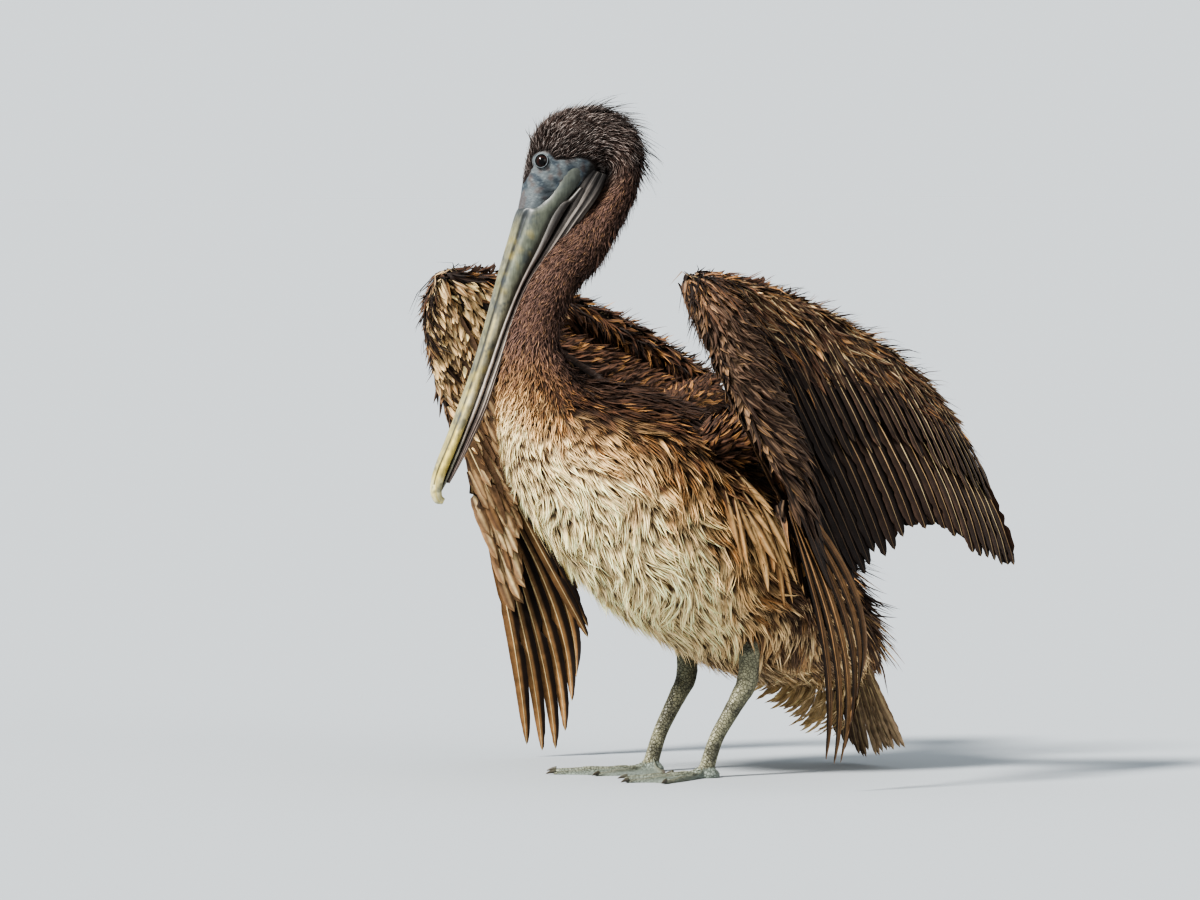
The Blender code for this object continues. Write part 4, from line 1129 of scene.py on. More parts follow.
def tube_skin(patch):
    """A closed tube, as points and faces."""
    return capped(patch.grid), tube_faces(*patch.grid.shape[:2])


# Each paint takes the feathers' places, how far down the wing they are, from 0 to 1, and random
# numbers, and returns root, tip, edge and shaft colours.


def wing_paint(points, down, rng):
    """Dark feathers with rusty patches, some golden, and buff rims."""
    patchy = ramp(wobble(points, 0.05, 21), -0.5, 0.8)
    random = rng.random(len(points))
    light = rng.random(len(points))
    tip = mix(BLACK_BROWN * 0.8, mix(UMBER, RUST, patchy * 0.6), ramp(random, 0.35, 0.95) * 0.85)
    tip = mix(tip, mix(RUST, GOLD, 0.45), ramp(light, 0.84, 0.96) * 0.8)
    edge = mix(mix(UMBER, RUST, 0.5), BUFF, ramp(light, 0.45, 0.98) * 0.7)
    shaft = mix(UMBER, PALE_SHAFT, 0.15 + 0.75 * ramp(rng.random(len(points)), 0.4, 0.9))
    return mix(BLACK_BROWN * 0.6, UMBER * 0.7, random), tip, edge, shaft


def hand_paint(points, down, rng):
    """The dark feathers of the hand's outer side, scaled with light rims."""
    random, light = rng.random(len(points)), rng.random(len(points))
    tip = mix(BLACK_BROWN * 0.6, mix(UMBER, GREY_BROWN, 0.2), ramp(random, 0.45, 1.0) * 0.7)
    edge = mix(UMBER * 0.7, TAUPE, ramp(light, 0.50, 0.95) * 0.7)
    edge = mix(edge, BUFF, ramp(light, 0.80, 0.95) * 0.7)
    rusty = 1 - ramp(down, 0.34, 0.42)
    tip = mix(tip, mix(BLACK_BROWN, RUST, random), rusty * 0.85)
    edge = mix(edge, mix(RUST, GOLD, light), rusty * 0.6)
    return np.broadcast_to(BLACK_BROWN * 0.6, tip.shape), tip, edge, mix(UMBER, TAUPE, random)


def rim_paint(points, down, rng):
    """The light-rimmed scales along the hand's leading edge."""
    random, light = rng.random(len(points)), rng.random(len(points))
    tip = mix(BLACK_BROWN, mix(UMBER, TAUPE, 0.5), random)
    return np.broadcast_to(BLACK_BROWN * 0.6, tip.shape), tip, mix(TAUPE, BUFF, light), mix(tip, BUFF, 0.4)


def wrist_paint(points, down, rng):
    """The pale mottled feathers under the wrist."""
    random, light = rng.random(len(points)), rng.random(len(points))
    pale = ramp(random, 0.35, 0.75)
    tip = mix(mix(UMBER, RUST, 0.5), mix(CREAM, STRAW, 0.3 + 0.7 * light), pale)
    edge = mix(GOLD, CREAM, light)
    return mix(BLACK_BROWN, UMBER, random * 0.4) * 0.7, tip, mix(tip, edge, 0.7), mix(tip, CREAM, 0.6)


def covert_paint(points, down, rng):
    """The rounded taupe coverts under the hand, with pale shafts."""
    random = rng.random(len(points))
    tip = mix(mix(TAUPE, UMBER, 0.85), mix(TAUPE, BUFF, 0.2), random)
    return mix(tip, BLACK_BROWN, 0.8), tip, mix(tip, BUFF, 0.6), mix(BUFF, PALE_SHAFT, random)


def fold_paint(points, down, rng):
    """The dark feathers of the arm and of the skin fold before the elbow, some with golden rims."""
    random = rng.random(len(points))
    tip = mix(mix(BLACK_BROWN, UMBER, 0.1) * 0.7, RUST, ramp(random, 0.75, 1.0) * 0.35)
    edge = mix(BLACK_BROWN, GOLD, ramp(rng.random(len(points)), 0.65, 1.0) * 0.7)
    return np.broadcast_to(BLACK_BROWN * 0.5, tip.shape), tip, edge, mix(UMBER, RUST, random)


def wing_tract(patch, rng, spacing, sort, rows, paint=wing_paint, columns=(0.0, 1.0), slant=0.0, reach=0.9):
    """Small feathers on one face of the wing. rows and columns are shares of the patch, slant turns
    the feathers across it, and reach is how far down the wing it goes."""
    total_rows, total_columns = patch.grid.shape[0] - 1, patch.grid.shape[1] - 1

    def keep(v, u, points):
        share, beside = v / total_rows, u / total_columns
        return (share >= rows[0]) & (share <= rows[1]) & (beside >= columns[0]) & (beside <= columns[1])

    v, u = patch.sow(spacing, rng, keep)
    points, _, down, across = patch.look(v, u)
    lie = unit(down) + unit(across) * slant
    return grow(patch, v, u, lie, sort, paint(points, v / total_rows * reach, rng), rng)


def worn_rims(t, fray, rng):
    """How much is worn off the left and the right rim of a feather, at shares t of its length."""
    count = len(t)
    ragged = rng.random((count, 2)) * 0.08 * fray
    deep = (rng.random((count, 2)) < 0.08 * fray) * rng.uniform(0.15, 0.5, (count, 2))
    ragged = np.clip(ragged + deep, 0, 0.6) * ramp(t, 0.25, 0.6)[:, None]
    return ragged + ramp(t, 0.90, 1.0)[:, None] * rng.random((count, 2)) * 0.40 * fray


def quill_tints(t, across_at, colours, rng):
    """Tints over a big feather's two vanes."""
    root, tip, left_rim, right_rim = colours
    ones = np.ones((len(t), len(across_at)))
    tint = mix(root, tip, ramp(t, 0.15, 0.9)[:, None] * ones)
    tint = mix(tint, left_rim, ramp(np.abs(across_at), 0.10, 0.55)[None] * ones * (across_at < 0))
    tint = mix(tint, right_rim, ramp(np.abs(across_at), 0.30, 0.95)[None] * ones * (across_at > 0))
    tint = tint * (1 + 0.10 * rng.normal(size=(len(t), 1, 1)))
    return tint * rng.uniform(0.85, 1.12)


def shaft_tube(line, side, normal, t, size, colour, bake):
    """A feather's raised shaft along this line, as a chunk."""
    radius = (1.15 - 0.85 * t) * MM * size
    turns = np.array((0.0, 0.25, 0.5, 0.75, 1.0)) * 2 * math.pi
    ring = side[:, None] * (np.cos(turns) * radius[:, None])[..., None]
    ring = ring + normal[:, None] * ((np.sin(turns) * 0.9) * radius[:, None])[..., None]
    verts = line[:, None] + ring
    tint = np.broadcast_to(mix(colour, colour * 0.6, ramp(t, 0.3, 1.0))[:, None], verts.shape)
    bake = np.broadcast_to(bake, verts.shape[:2] + (2,))
    return chunk_of(verts[None], tint[None], bake[None], np.zeros_like(bake)[None])


def quill(line, side, normal, half_left, half_right, colours, rng, slot_uv, taper, tilt, fray,
          shaft_size, columns=4):
    """One big feather along a line of points: two vanes with ragged rims, and a raised shaft.
    colours are (vane at root, vane at tip, left rim, right rim, shaft). taper is the share of its
    length in which it narrows to its tip. Returns two chunks."""
    count = len(line)
    steps = np.linalg.norm(np.diff(line, axis=0), axis=1)
    length = steps.sum()
    t = np.concatenate(((0.0,), np.cumsum(steps))) / length
    ending = np.clip((t - (1 - taper)) / taper, 0, 1)
    outline = np.minimum(0.34 + t * 2.2, 1.0) * np.maximum(1 - ending**2, 0.0) ** 0.5
    across_at = np.linspace(-1, 1, 2 * columns + 1)
    half = np.where(across_at[None] < 0, half_left[:, None], half_right[:, None]) * outline[:, None]
    worn = worn_rims(t, fray, rng)
    trim = 1 - np.where(across_at[None] < 0, worn[:, :1], worn[:, 1:]) * (np.abs(across_at) > 0.8)
    x = half * across_at * trim
    lift = -VANE_CAMBER * np.abs(half) * across_at**2 + tilt * x
    lift = lift + 0.25 * MM * np.sin(t[:, None] * 23 + across_at * 3 + rng.uniform(0, 6))
    back = (rng.random((count, 1)) - 0.3) * 0.05 * fray * across_at**2 * ramp(t, 0.3, 0.9)[:, None]
    along = unit(np.gradient(line, axis=0))
    verts = line[:, None] + side[:, None] * x[..., None] + normal[:, None] * lift[..., None]
    verts = verts - along[:, None] * (back * np.abs(x) * 4)[..., None]
    tint = quill_tints(t, across_at, colours[:4], rng)
    bake = np.empty(x.shape + (2,))
    bake[..., 0] = slot_uv[0] + (across_at * 0.42 + 0.5) * slot_uv[2]
    bake[..., 1] = slot_uv[1] + (t[:, None] * 0.9 + 0.05) * slot_uv[3]
    barb = np.empty_like(bake)
    barb[..., 0] = t[:, None] * length / BARB_PITCH - np.abs(x) / (0.8 * MM)
    barb[..., 1] = across_at
    vane = chunk_of(verts[None], tint[None], bake[None], barb[None])
    ridge = line + normal * lift[:, columns][:, None]
    middle = bake[:, columns : columns + 1]
    return [vane, shaft_tube(ridge, side, normal, t, shaft_size, colours[4], middle)]


def slot_rectangle(index, total):
    """A cell of its own on the unit square for each big feather: left, bottom, width, height."""
    columns = math.ceil(math.sqrt(total * 3))
    rows = math.ceil(total / columns)
    return (index % columns) / columns, (index // columns) / rows, 1 / columns, 1 / rows


# The big feathers of each sort along the wing: how many there are, the row where they start, the rows
# that they take up, and how far into its own place each one stands.
FEATHER_ROWS = (
    ("secondary", 21, ELBOW_ROW, 4, 0.5),
    ("covert_outer", 24, ELBOW_ROW, 4, 0.4),
    ("covert_inner", 24, ELBOW_ROW, 4, 0.4),
    ("inner", 6, WRIST_ROW, INNER_PRIMARIES_END - WRIST_ROW, 0.3),
    ("hand_outer", 9, WRIST_ROW, 2.6, 0.3),
    ("hand_inner", 9, WRIST_ROW, 2.6, 0.3),
    ("long", len(LONG_PRIMARIES), 0, len(LONG_PRIMARIES), 0.5),
    ("tertial", 8, SHOULDER_ROW, ELBOW_ROW, 0.5),
)
# Where each sort of big feather grows: the part of the wing, the share of the way down the sheet at
# its root and tip, half its width in centimetres, the taper of its tip and how much it frays.
BIG_FEATHERS = {
    "secondary": (1, 0.30, 1.00, 0.90, 0.13, 1.5),
    "covert_outer": (1, 0.12, 0.68, 0.70, 0.20, 0.8),
    "covert_inner": (1, 0.30, 0.72, 0.80, 0.20, 0.8),
    "inner": (2, 0.12, 1.00, 0.95, 0.16, 1.0),
    "hand_outer": (2, 0.10, 0.60, 0.70, 0.25, 0.8),
    "hand_inner": (2, 0.08, 0.48, 0.70, 0.30, 0.8),
    "tertial": (0, 0.20, 1.00, 1.50, 0.16, 1.0),
}


def feather_plan():
    """The sort and the place along the wing of every big feather."""
    return [
        (sort, first + (number + lead) / total * span)
        for sort, total, first, span, lead in FEATHER_ROWS
        for number in range(total)
    ]


def feather_colours(sort, along, far_side, rng):
    """Vane colours at root and tip, the two rims and the shaft of one big feather."""
    shaft = mix(BUFF, PALE_SHAFT, rng.uniform(0.2, 1.0))
    black = BLACK_BROWN * 0.7
    if sort == "long" and far_side:
        gold = mix(PRIMARY_GOLD, BUFF, rng.uniform(0.0, 0.35))
        return [mix(TAUPE, gold, 0.6), gold, BLACK_BROWN * 0.6, mix(gold, UMBER, 0.35), PALE_SHAFT]
    if sort == "long":
        vane = mix(BLACK_BROWN, PRIMARY_GOLD, rng.uniform(0.10, 0.55))
        shaft = mix(UMBER, BUFF, rng.uniform(0.2, 0.9))
        rim = mix(vane, PRIMARY_GOLD, 0.4)
        return [mix(vane, BLACK_BROWN, 0.5), vane * 0.8, rim, BLACK_BROWN * 0.3, shaft]
    if sort in ("inner", "hand_outer", "hand_inner") and not far_side:
        shaft = mix(UMBER, TAUPE, 0.5)
    if sort == "hand_inner":
        vane = mix(TAUPE, BUFF, rng.uniform(0.0, 0.5)) if far_side else mix(UMBER, BLACK_BROWN, 0.5)
        return [mix(vane, BLACK_BROWN, 0.7), vane, mix(vane, UMBER, 0.6), mix(vane, BUFF, 0.4), shaft]
    if sort in ("inner", "hand_outer"):
        vane = mix(BLACK_BROWN, GREY_BROWN, 0.25)
        if far_side:
            vane = mix(vane, PRIMARY_GOLD, 0.75)
        return [vane, mix(vane, BLACK_BROWN, 0.3), black, mix(vane, BLACK_BROWN, 0.5), shaft]
    if sort == "tertial":
        vane = mix(BLACK_BROWN, UMBER, rng.uniform(0.1, 0.5))
        return [vane * 0.8, vane, black, mix(vane, UMBER, 0.4), mix(UMBER, BUFF, 0.6)]
    light = mix(BLACK_BROWN, mix(RUST, GREY_BROWN, 0.6), rng.uniform(0.1, 0.8))
    shadow = float(ramp(along, 4.3, 5.3))
    dulled = 0.15 if sort == "secondary" else rng.uniform(0.0, 0.7)
    shaft = mix(shaft, UMBER, 0.85 * shadow + dulled * (1 - shadow))
    vane = mix(mix(BLACK_BROWN, UMBER, 0.25), BLACK_BROWN * 0.6, shadow)
    return [vane, vane, BLACK_BROWN * 0.6, mix(light, BLACK_BROWN, shadow), shaft]


def feather_end(sort, far_side, rng):
    """The share of its line that a big feather grows to."""
    if sort == "inner" and not far_side:
        return rng.uniform(0.55, 0.70)
    least = {"covert_outer": 0.62, "covert_inner": 0.74, "long": 0.99, "hand_outer": 0.75}.get(sort, 0.87)
    return rng.uniform(least, 1.0)


def feather_line(sheet, sort, along, far_side):
    """A big feather's middle line, the lines to each side that say how it faces, and its half widths."""
    steps = 1 - (1 - np.linspace(0, 1, 36)) ** 1.35
    if sort == "long":
        bend = (0.15, (0.0, -0.9), 3.0) if far_side else (0.50, (1.3, 0.8), 5.0)
        near, far = (
            np.array([fan_line(sheet, along + half, d, *bend) for d in steps]) for half in (-0.5, 0.5))
        return (near + far) / 2, near, far, np.full(len(steps), (0.80 if far_side else 0.50) * CM)
    part, start, end, width, _, _ = BIG_FEATHERS[sort]
    width = width * (0.62 if sort == "inner" and far_side else 1.0)
    steps = start + (end - start) * steps
    line, near, far = (
        np.array([sheet.at(along + shift, d, part) for d in steps]) for shift in (0, -0.12, 0.12))
    return line, near, far, np.full(len(steps), width * CM)


def big_feathers(sheet, rng, far_side):
    """Secondaries, primaries, tertials and the long coverts over them, of the left wing, as chunks."""
    chunks = []
    plan = feather_plan()
    for number, (sort, along) in enumerate(plan):
        line, near, far, width = feather_line(sheet, sort, along, far_side)
        run = unit(np.gradient(line, axis=0))
        normal = unit(np.cross(far - near, run))
        normal = np.where(normal[:, :1] < 0, -normal, normal)
        side = unit(np.cross(run, normal))
        side = side * np.sign(dot(side, far - near))
        taper, fray = (0.42, 0.7 if far_side else 0.3) if sort == "long" else BIG_FEATHERS[sort][4:]
        over_arm, over_hand = sort.startswith("covert"), sort.startswith("hand")
        if over_arm or over_hand:
            down = np.linspace(BIG_FEATHERS[sort][1], BIG_FEATHERS[sort][2], len(line))
            raised = [coverts_half(d) + 0.12 for d in down] if over_arm else 1.1 - 1.2 * down
            outward = 1.0 if sort.endswith("outer") else -1.0
            line = line + normal * (np.array(raised) * CM * outward)[:, None]
        end = int(len(line) * feather_end(sort, far_side, rng))
        colours = feather_colours(sort, along, far_side, rng)
        chunks += quill(
            line[:end], side[:end], normal[:end], width[:end] * 1.15, width[:end] * 0.85, colours, rng,
            slot_rectangle(number, len(plan)), taper, 0.14, fray, 0.8 if over_arm else 1.0)
    return chunks


def hand_patch(inset=0.0):
    """The surface of the left hand, from the wrist down to the roots of the long primaries."""
    rows = smooth([(*place(*edge), wide, thick) for edge, wide, thick in HAND_SLICES], 8)
    trail = place(*HAND_TRAIL)
    turns = np.arange(40) * 2 * math.pi / 40
    rings = []
    for i, row in enumerate(rows):
        along = unit(rows[min(i + 1, len(rows) - 1)][:3] - rows[max(i - 1, 0)][:3])
        back = unit(trail - along * np.dot(trail, along))
        normal = unit(np.cross(along, back))
        centre = row[:3] + back * row[3] * CM
        wide, thick = (max(value - inset, 0.12) * CM for value in row[3:5])
        rings.append(centre + back * wide * np.cos(turns)[:, None] + normal * thick * np.sin(turns)[:, None])
    return Patch(np.array(rings), wrap=True)


def tube_patch(points, radii, side_ratio, steps, sides, toward=(0.0, 1.0, 0.3)):
    """A smooth tube through these points, radii fore and aft in centimetres."""
    rows = smooth([(*place(*point), radius * CM) for point, radius in zip(points, radii)], steps)
    turns = np.arange(sides) * 2 * math.pi / sides
    rings = []
    for i, row in enumerate(rows):
        along = unit(rows[min(i + 1, len(rows) - 1)][:3] - rows[max(i - 1, 0)][:3])
        side = unit(np.cross(along, toward))
        rise = unit(np.cross(along, side))
        ring = row[:3] + rise * row[3] * np.cos(turns)[:, None]
        rings.append(ring + side * row[3] * side_ratio * np.sin(turns)[:, None])
    return Patch(np.array(rings), wrap=True)


def outward_tube(patch):
    """The tube with its normals pointing away from its middle line."""
    centre = patch.grid.mean(axis=1, keepdims=True)
    return face_out(patch, patch.grid - centre)


def arm_patch(inset=0.0):
    """The surface of the upper arm, from the shoulder almost to the elbow."""
    start, end = np.array(SHOULDER), np.array(WING_ROWS[ELBOW_ROW][0])
    shares = (0, 0.33, 0.66, 1)
    route = [start + (end - start) * share * 0.93 - np.array((0, 0, 0.9 * share)) for share in shares]
    radii = [radius - inset for radius in ARM_RADII]
    return outward_tube(tube_patch(route, radii, 0.8, 8, 32, (1.0, 0.0, 0.0)))


def fold_patch(lower):
    """The upper or lower face of the skin fold between shoulder, elbow and wrist."""
    elbow, wrist = place(*WING_ROWS[ELBOW_ROW][0]), place(*WING_ROWS[WRIST_ROW][0])
    shoulder = place(*SHOULDER)
    drop = np.array((0.0, 0.0, -1.5 * CM))
    normal = unit(np.cross(wrist - elbow, shoulder - elbow))
    normal = normal if normal[2] > 0 else -normal
    grid = []
    for a in np.linspace(1.0, 0.10, 16):
        row = []
        for b in np.linspace(0.03, 0.97, 30):
            ray = (wrist - elbow) * (1 - b) + (shoulder - elbow) * b
            reach = 0.97 - 0.34 * math.sin(math.pi * b) ** 0.8
            half = 0.32 * CM * (-1 if lower else 1)
            row.append(elbow + drop + ray * reach * a + normal * half)
        grid.append(row)
    return face_out(Patch(np.array(grid)), (-normal if lower else normal)[None, None])


# Small feathers of the wing.
WING_SORTS = {
    "small": Grown(15 * MM, 3.6 * MM, rows=5, columns=3, shape="lance", lift=0.42, curl=0.2,
                   spread=0.25, roll=0.4, camber=0.4),
    "spiky": Grown(18 * MM, 2.2 * MM, rows=5, lift=0.70, curl=0.25, spread=0.25, roll=0.5, strands=3,
                   gather=1.2, converge=1.0),
    "lesser": Grown(26 * MM, 5.5 * MM, rows=6, columns=5, shape="lance", lift=0.26, curl=0.12,
                    spread=0.16, roll=0.35, camber=0.5),
    "median": Grown(44 * MM, 7.0 * MM, rows=8, columns=5, shape="lance", lift=0.12, curl=0.10,
                    spread=0.10, roll=0.3, camber=0.5),
    "scales": Grown(14 * MM, 7.2 * MM, rows=6, columns=5, shape="lance", lift=0.38, curl=0.10,
                    spread=0.16, roll=0.25, camber=0.7),
    "covert": Grown(48 * MM, 11.5 * MM, rows=9, columns=5, shape="round", lift=0.06, curl=0.04,
                    spread=0.08, roll=0.12, camber=0.5),
    "streaks": Grown(34 * MM, 1.3 * MM, rows=6, lift=0.22, curl=0.15, spread=0.12, roll=0.5,
                     rise=0.6 * MM, strands=3, gather=1.8, converge=0.9),
    "hackles": Grown(16 * MM, 4.4 * MM, rows=6, columns=3, shape="lance", lift=0.45, curl=0.2,
                     spread=0.25, roll=0.4, camber=0.4),
    "scapular": Grown(52 * MM, 11 * MM, rows=10, columns=5, shape="lance", lift=0.07, curl=0.08,
                      spread=0.12, roll=0.3, camber=0.5),
}
WHOLE = (0.0, 1.0)
ELBOW_SIDE = (0.0, 0.64)
WRIST_SIDE = (0.60, 1.0)


def forearm_coat(sheet, rng, under_paint, cover_paint):
    """Feathers of the forearm, on both faces and along its leading edge."""
    outer, inner = sheet_faces(sheet, 1, ELBOW_ROW, WRIST_ROW, 0.9, feathered_half, 0.2)
    tracts = (
        (outer, 9.0, "median", (0.12, 0.34), wing_paint, WHOLE, -0.15),
        (outer, 6.5, "lesser", (0.05, 0.27), wing_paint, WHOLE, -0.35),
        (outer, 8.0, "streaks", (0.06, 0.44), wing_paint, WHOLE, -0.2),
        (outer, 3.8, "small", (0.0, 0.12), wing_paint, WHOLE, -0.6),
        (inner, 9.0, "median", (0.12, 0.40), fold_paint, ELBOW_SIDE, 0.0),
        (inner, 5.0, "hackles", (0.0, 0.36), fold_paint, ELBOW_SIDE, -0.4),
        (inner, 9.0, "covert", (0.22, 0.46), cover_paint, WRIST_SIDE, 0.0),
        (inner, 5.4, "scales", (0.03, 0.36), under_paint, WRIST_SIDE, -0.4),
        (outer, 6.0, "spiky", (0.0, 0.07), wing_paint, WHOLE, -0.6),
        (inner, 6.0, "spiky", (0.0, 0.06), wing_paint, WHOLE, -0.6),
    )
    chunks = []
    for face, spacing, sort, rows, paint, columns, slant in tracts:
        chunks.append(wing_tract(face, rng, spacing * MM, WING_SORTS[sort], rows, paint, columns, slant))
    edge = [row[0] for row in WING_ROWS[WRIST_ROW : ELBOW_ROW - 1 : -1]]
    edge = outward_tube(tube_patch(edge, (0.3, 0.6, 0.6, 0.6, 0.4), 0.9, 10, 20, (1.0, 0.0, 0.0)))
    chunks.append(wing_tract(edge, rng, 4.6 * MM, WING_SORTS["small"], (0.03, 0.97), fold_paint))
    return chunks


def tertial_coat(sheet, rng):
    """Scapulars and coverts over both faces of the tertials."""
    outer, inner = sheet_faces(sheet, 0, SHOULDER_ROW, ELBOW_ROW, 0.85, tertial_half, 0.1)
    tracts = ((12, "scapular", (0.10, 0.50)), (8, "median", (0.0, 0.35)), (6, "lesser", (0.0, 0.2)))
    return [
        wing_tract(face, rng, spacing * MM, WING_SORTS[sort], rows, paint)
        for face, paint in ((outer, wing_paint), (inner, fold_paint))
        for spacing, sort, rows in tracts
    ]


def wing_coat(sheet, seed, far_side):
    """Skins and feather chunks of one wing, built as the left one."""
    rng = np.random.default_rng(seed)
    under_paint, cover_paint = (wrist_paint, covert_paint) if far_side else (hand_paint, hand_paint)
    upper, lower = fold_patch(False), fold_patch(True)
    skins = [
        slab_skin(*sheet_faces(sheet, 1, ELBOW_ROW, WRIST_ROW, FOREARM_COVERTS, coverts_half, 0.28)),
        tube_skin(outward_tube(hand_patch(0.25))),
        tube_skin(arm_patch(0.3)),
        slab_skin(upper, lower),
    ]
    chunks = forearm_coat(sheet, rng, under_paint, cover_paint)
    chunks += tertial_coat(sheet, rng)
    chunks += hand_coat(outward_tube(hand_patch()), rng, under_paint, cover_paint)
    _, palm = sheet_faces(sheet, 2, WRIST_ROW, HAND_ROW - 0.6, 0.62, hand_half, 0.1)
    covert, scales, hackles = (WING_SORTS[sort] for sort in ("covert", "scales", "hackles"))
    chunks.append(wing_tract(palm, rng, 9.5 * MM, covert, (0.36, 0.80), cover_paint, reach=0.6))
    chunks.append(wing_tract(palm, rng, 5.6 * MM, scales, (0.0, 0.50), under_paint, (0.0, 0.7), reach=0.6))
    for patch, spacing in ((arm_patch(), 4.4), (upper, 4.6), (lower, 4.6)):
        chunks.append(wing_tract(patch, rng, spacing * MM, hackles, WHOLE, fold_paint))
    return skins, chunks + big_feathers(sheet, rng, far_side)


def hand_coat(hand, rng, under_paint, cover_paint):
    """Feathers of the hand: short round the wrist, longer towards the primaries."""
    rows = hand.grid.shape[0]
    inwards = np.array((-1.0, 0.0, 0.0))
    back = place(*HAND_TRAIL)

    def some(spacing, sort, span, facing, paint):
        """Feathers between two shares of the way down, where the surface faces inwards by as much as
        facing says."""

        def keep(v, u, points):
            share = v / (rows - 1)
            towards = hand.look(v, u)[1] @ inwards
            return (share >= span[0]) & (share <= span[1]) & (towards > facing[0]) & (towards < facing[1])

        v, u = hand.sow(spacing * MM, rng, keep)
        points, _, down, _ = hand.look(v, u)
        lie = unit(down) + unit(back) * 0.35
        return grow(hand, v, u, lie, WING_SORTS[sort], paint(points, 0.3 + 0.3 * v / rows, rng), rng)

    outer, inner, edge, everywhere = (-2, 0.3), (0.05, 2), (-0.4, 0.4), (-2, 2)
    return [
        some(9.0, "covert", (0.34, 0.74), (0.35, 2), cover_paint),
        some(9.0, "median", (0.45, 0.92), outer, hand_paint),
        some(6.0, "lesser", (0.15, 0.80), outer, hand_paint),
        some(4.0, "small", (0.0, 0.60), outer, hand_paint),
        some(4.8, "scales", (0.06, 0.50), inner, under_paint),
        some(4.6, "hackles", (0.0, 0.14), everywhere, wing_paint),
        some(5.0, "scales", (0.16, 0.80), edge, rim_paint),
        some(5.0, "spiky", (0.0, 0.60), edge, fold_paint),
    ]


# ---------------------------------------------------------------- tail


def tail_feathers(rng):
    """The tail: a stiff fan of worn feathers whose tips rest on the ground."""
    root, tip = place(*TAIL_ROOT), place(*TAIL_TIP)
    left = np.array((1.0, 0.0, 0.0))
    back = unit(np.cross(left, tip - root))
    back = back if back[1] > 0 else -back
    chunks = []
    for i in range(TAIL_FEATHERS):
        across = (2 * (i + 0.5) / TAIL_FEATHERS - 1) * 0.97
        t = np.linspace(0.02, 1.0, 30)
        down = t * (1 - OUTER_TAIL_SHORTER * across**2) * (1 - rng.uniform(0.0, 0.13))
        half_width = (TAIL_ROOT_HALF_WIDTH * (1 - down) + TAIL_TIP_HALF_WIDTH * down) * CM
        arch = TAIL_ARCH * CM * (1 - across**2) * (1 - down)
        line = root + (tip - root) * down[:, None] + back * arch[:, None]
        line[:, 0] += across * half_width
        line = line + back * ((i % 2) * 1.2 * MM)
        run = unit(np.gradient(line, axis=0))
        normal = unit(np.cross(left, run))
        normal = np.where(normal[:, 1:2] < 0, -normal, normal)
        side = np.cross(run, normal)
        side = unit(side) * np.sign(dot(side, left))
        width = np.full(len(t), rng.uniform(0.44, 0.60) * CM)
        line[:, 0] += rng.normal(0, 0.40) * CM * t**2
        # The tail's right half is painted darker, as painted shade on the side turned from the light.
        vane = mix(mix(TAIL_BROWN, UMBER, 0.75), TAIL_BROWN, ramp(across, -0.6, 0.3))
        vane = vane * rng.uniform(0.8, 1.15)
        colours = [vane * 0.6, vane, mix(vane, BLACK_BROWN, 0.55), mix(vane, CREAM_GREY, 0.4), PALE_SHAFT]
        chunks += quill(line, side, normal, width, width, colours, rng, slot_rectangle(i, TAIL_FEATHERS),
                        taper=0.16, tilt=0.18, fray=3.0, shaft_size=0.9)
    return chunks


def undertail_feathers(rng):
    """Cream feathers that hang from the belly's rear over the roots of the tail."""
    chunks = []
    for i in range(UNDERTAIL_FEATHERS):
        layer, across = i % UNDERTAIL_LAYERS, 2 * (i + 0.5) / UNDERTAIL_FEATHERS - 1
        start = place(
            3.9 * across,
            -8.8 - 1.35 * layer - rng.uniform(0, 0.9),
            10.6 - 0.90 * layer + 0.9 * across**2 + rng.uniform(0, 0.5),
        )
        reach = rng.uniform(2.8, 4.2) * CM
        end = start + np.array((0.10 * across + rng.normal(0, 0.08), -0.62, -0.78)) * reach
        t = np.linspace(0, 1, 12)[:, None]
        line = start + (end - start) * t + np.array((0.0, 0.004, -0.005)) * 4 * t * (1 - t)
        run = unit(np.gradient(line, axis=0))
        outward = unit(np.array((across * 0.8, 0.0, 0.0)) + np.cross((1.0, 0.0, 0.0), run))
        outward = np.where(outward[:, 2:3] > 0, -outward, outward)
        side = unit(np.cross(run, outward))
        normal = unit(np.cross(side, run))
        width = np.full(len(t), rng.uniform(0.18, 0.30) * CM)
        vane = mix(mix(BUFF, CREAM_GREY, 0.6), CREAM, rng.random() ** 0.6) * (1.15 - 0.05 * layer)
        colours = [mix(vane, UMBER, 0.4), vane, mix(vane, TAUPE, 0.35), vane, CREAM]
        chunks += quill(line, side, normal, width, width, colours, rng,
                        slot_rectangle(i, UNDERTAIL_FEATHERS),
                        taper=0.8, tilt=0.2, fray=1.6, shaft_size=0.4, columns=3)
    return chunks


# ---------------------------------------------------------------- bill, pouch, eyes and lids


def turn_from_top(turn):
    """The same turn as a number from minus pi to pi, 0 at the top."""
    return np.mod(turn + math.pi, 2 * math.pi) - math.pi


def bill_ring(head, forward, top, bottom, half_width, sides, ridge=0.0, groove=0.0):
    """A slice of bill: a rounded box, its top drawn up into a ridge, with a groove along each side."""
    turn = ring_turns(sides, 0.5)
    rise, side = np.cos(turn), np.sin(turn)
    narrow = 1 - ridge * np.maximum(rise, 0) ** 2
    square = 1 / np.maximum(np.abs(rise), np.abs(side)) ** 0.45
    tall = rise * np.minimum(square, 1 / np.maximum(np.abs(rise), 1e-6))
    middle, half_depth = (top + bottom) / 2, (bottom - top) / 2
    shrink = 1 - groove * np.exp(-(((np.abs(turn_from_top(turn)) - GROOVE_TURN) / GROOVE_WIDTH) ** 2))
    across = half_width * side * narrow * square * shrink
    below = middle - half_depth * tall * (1 - (1 - shrink) * 0.5)
    return head.base + (head.bill * forward - below[:, None] * head.crown + across[:, None] * head.left) * CM


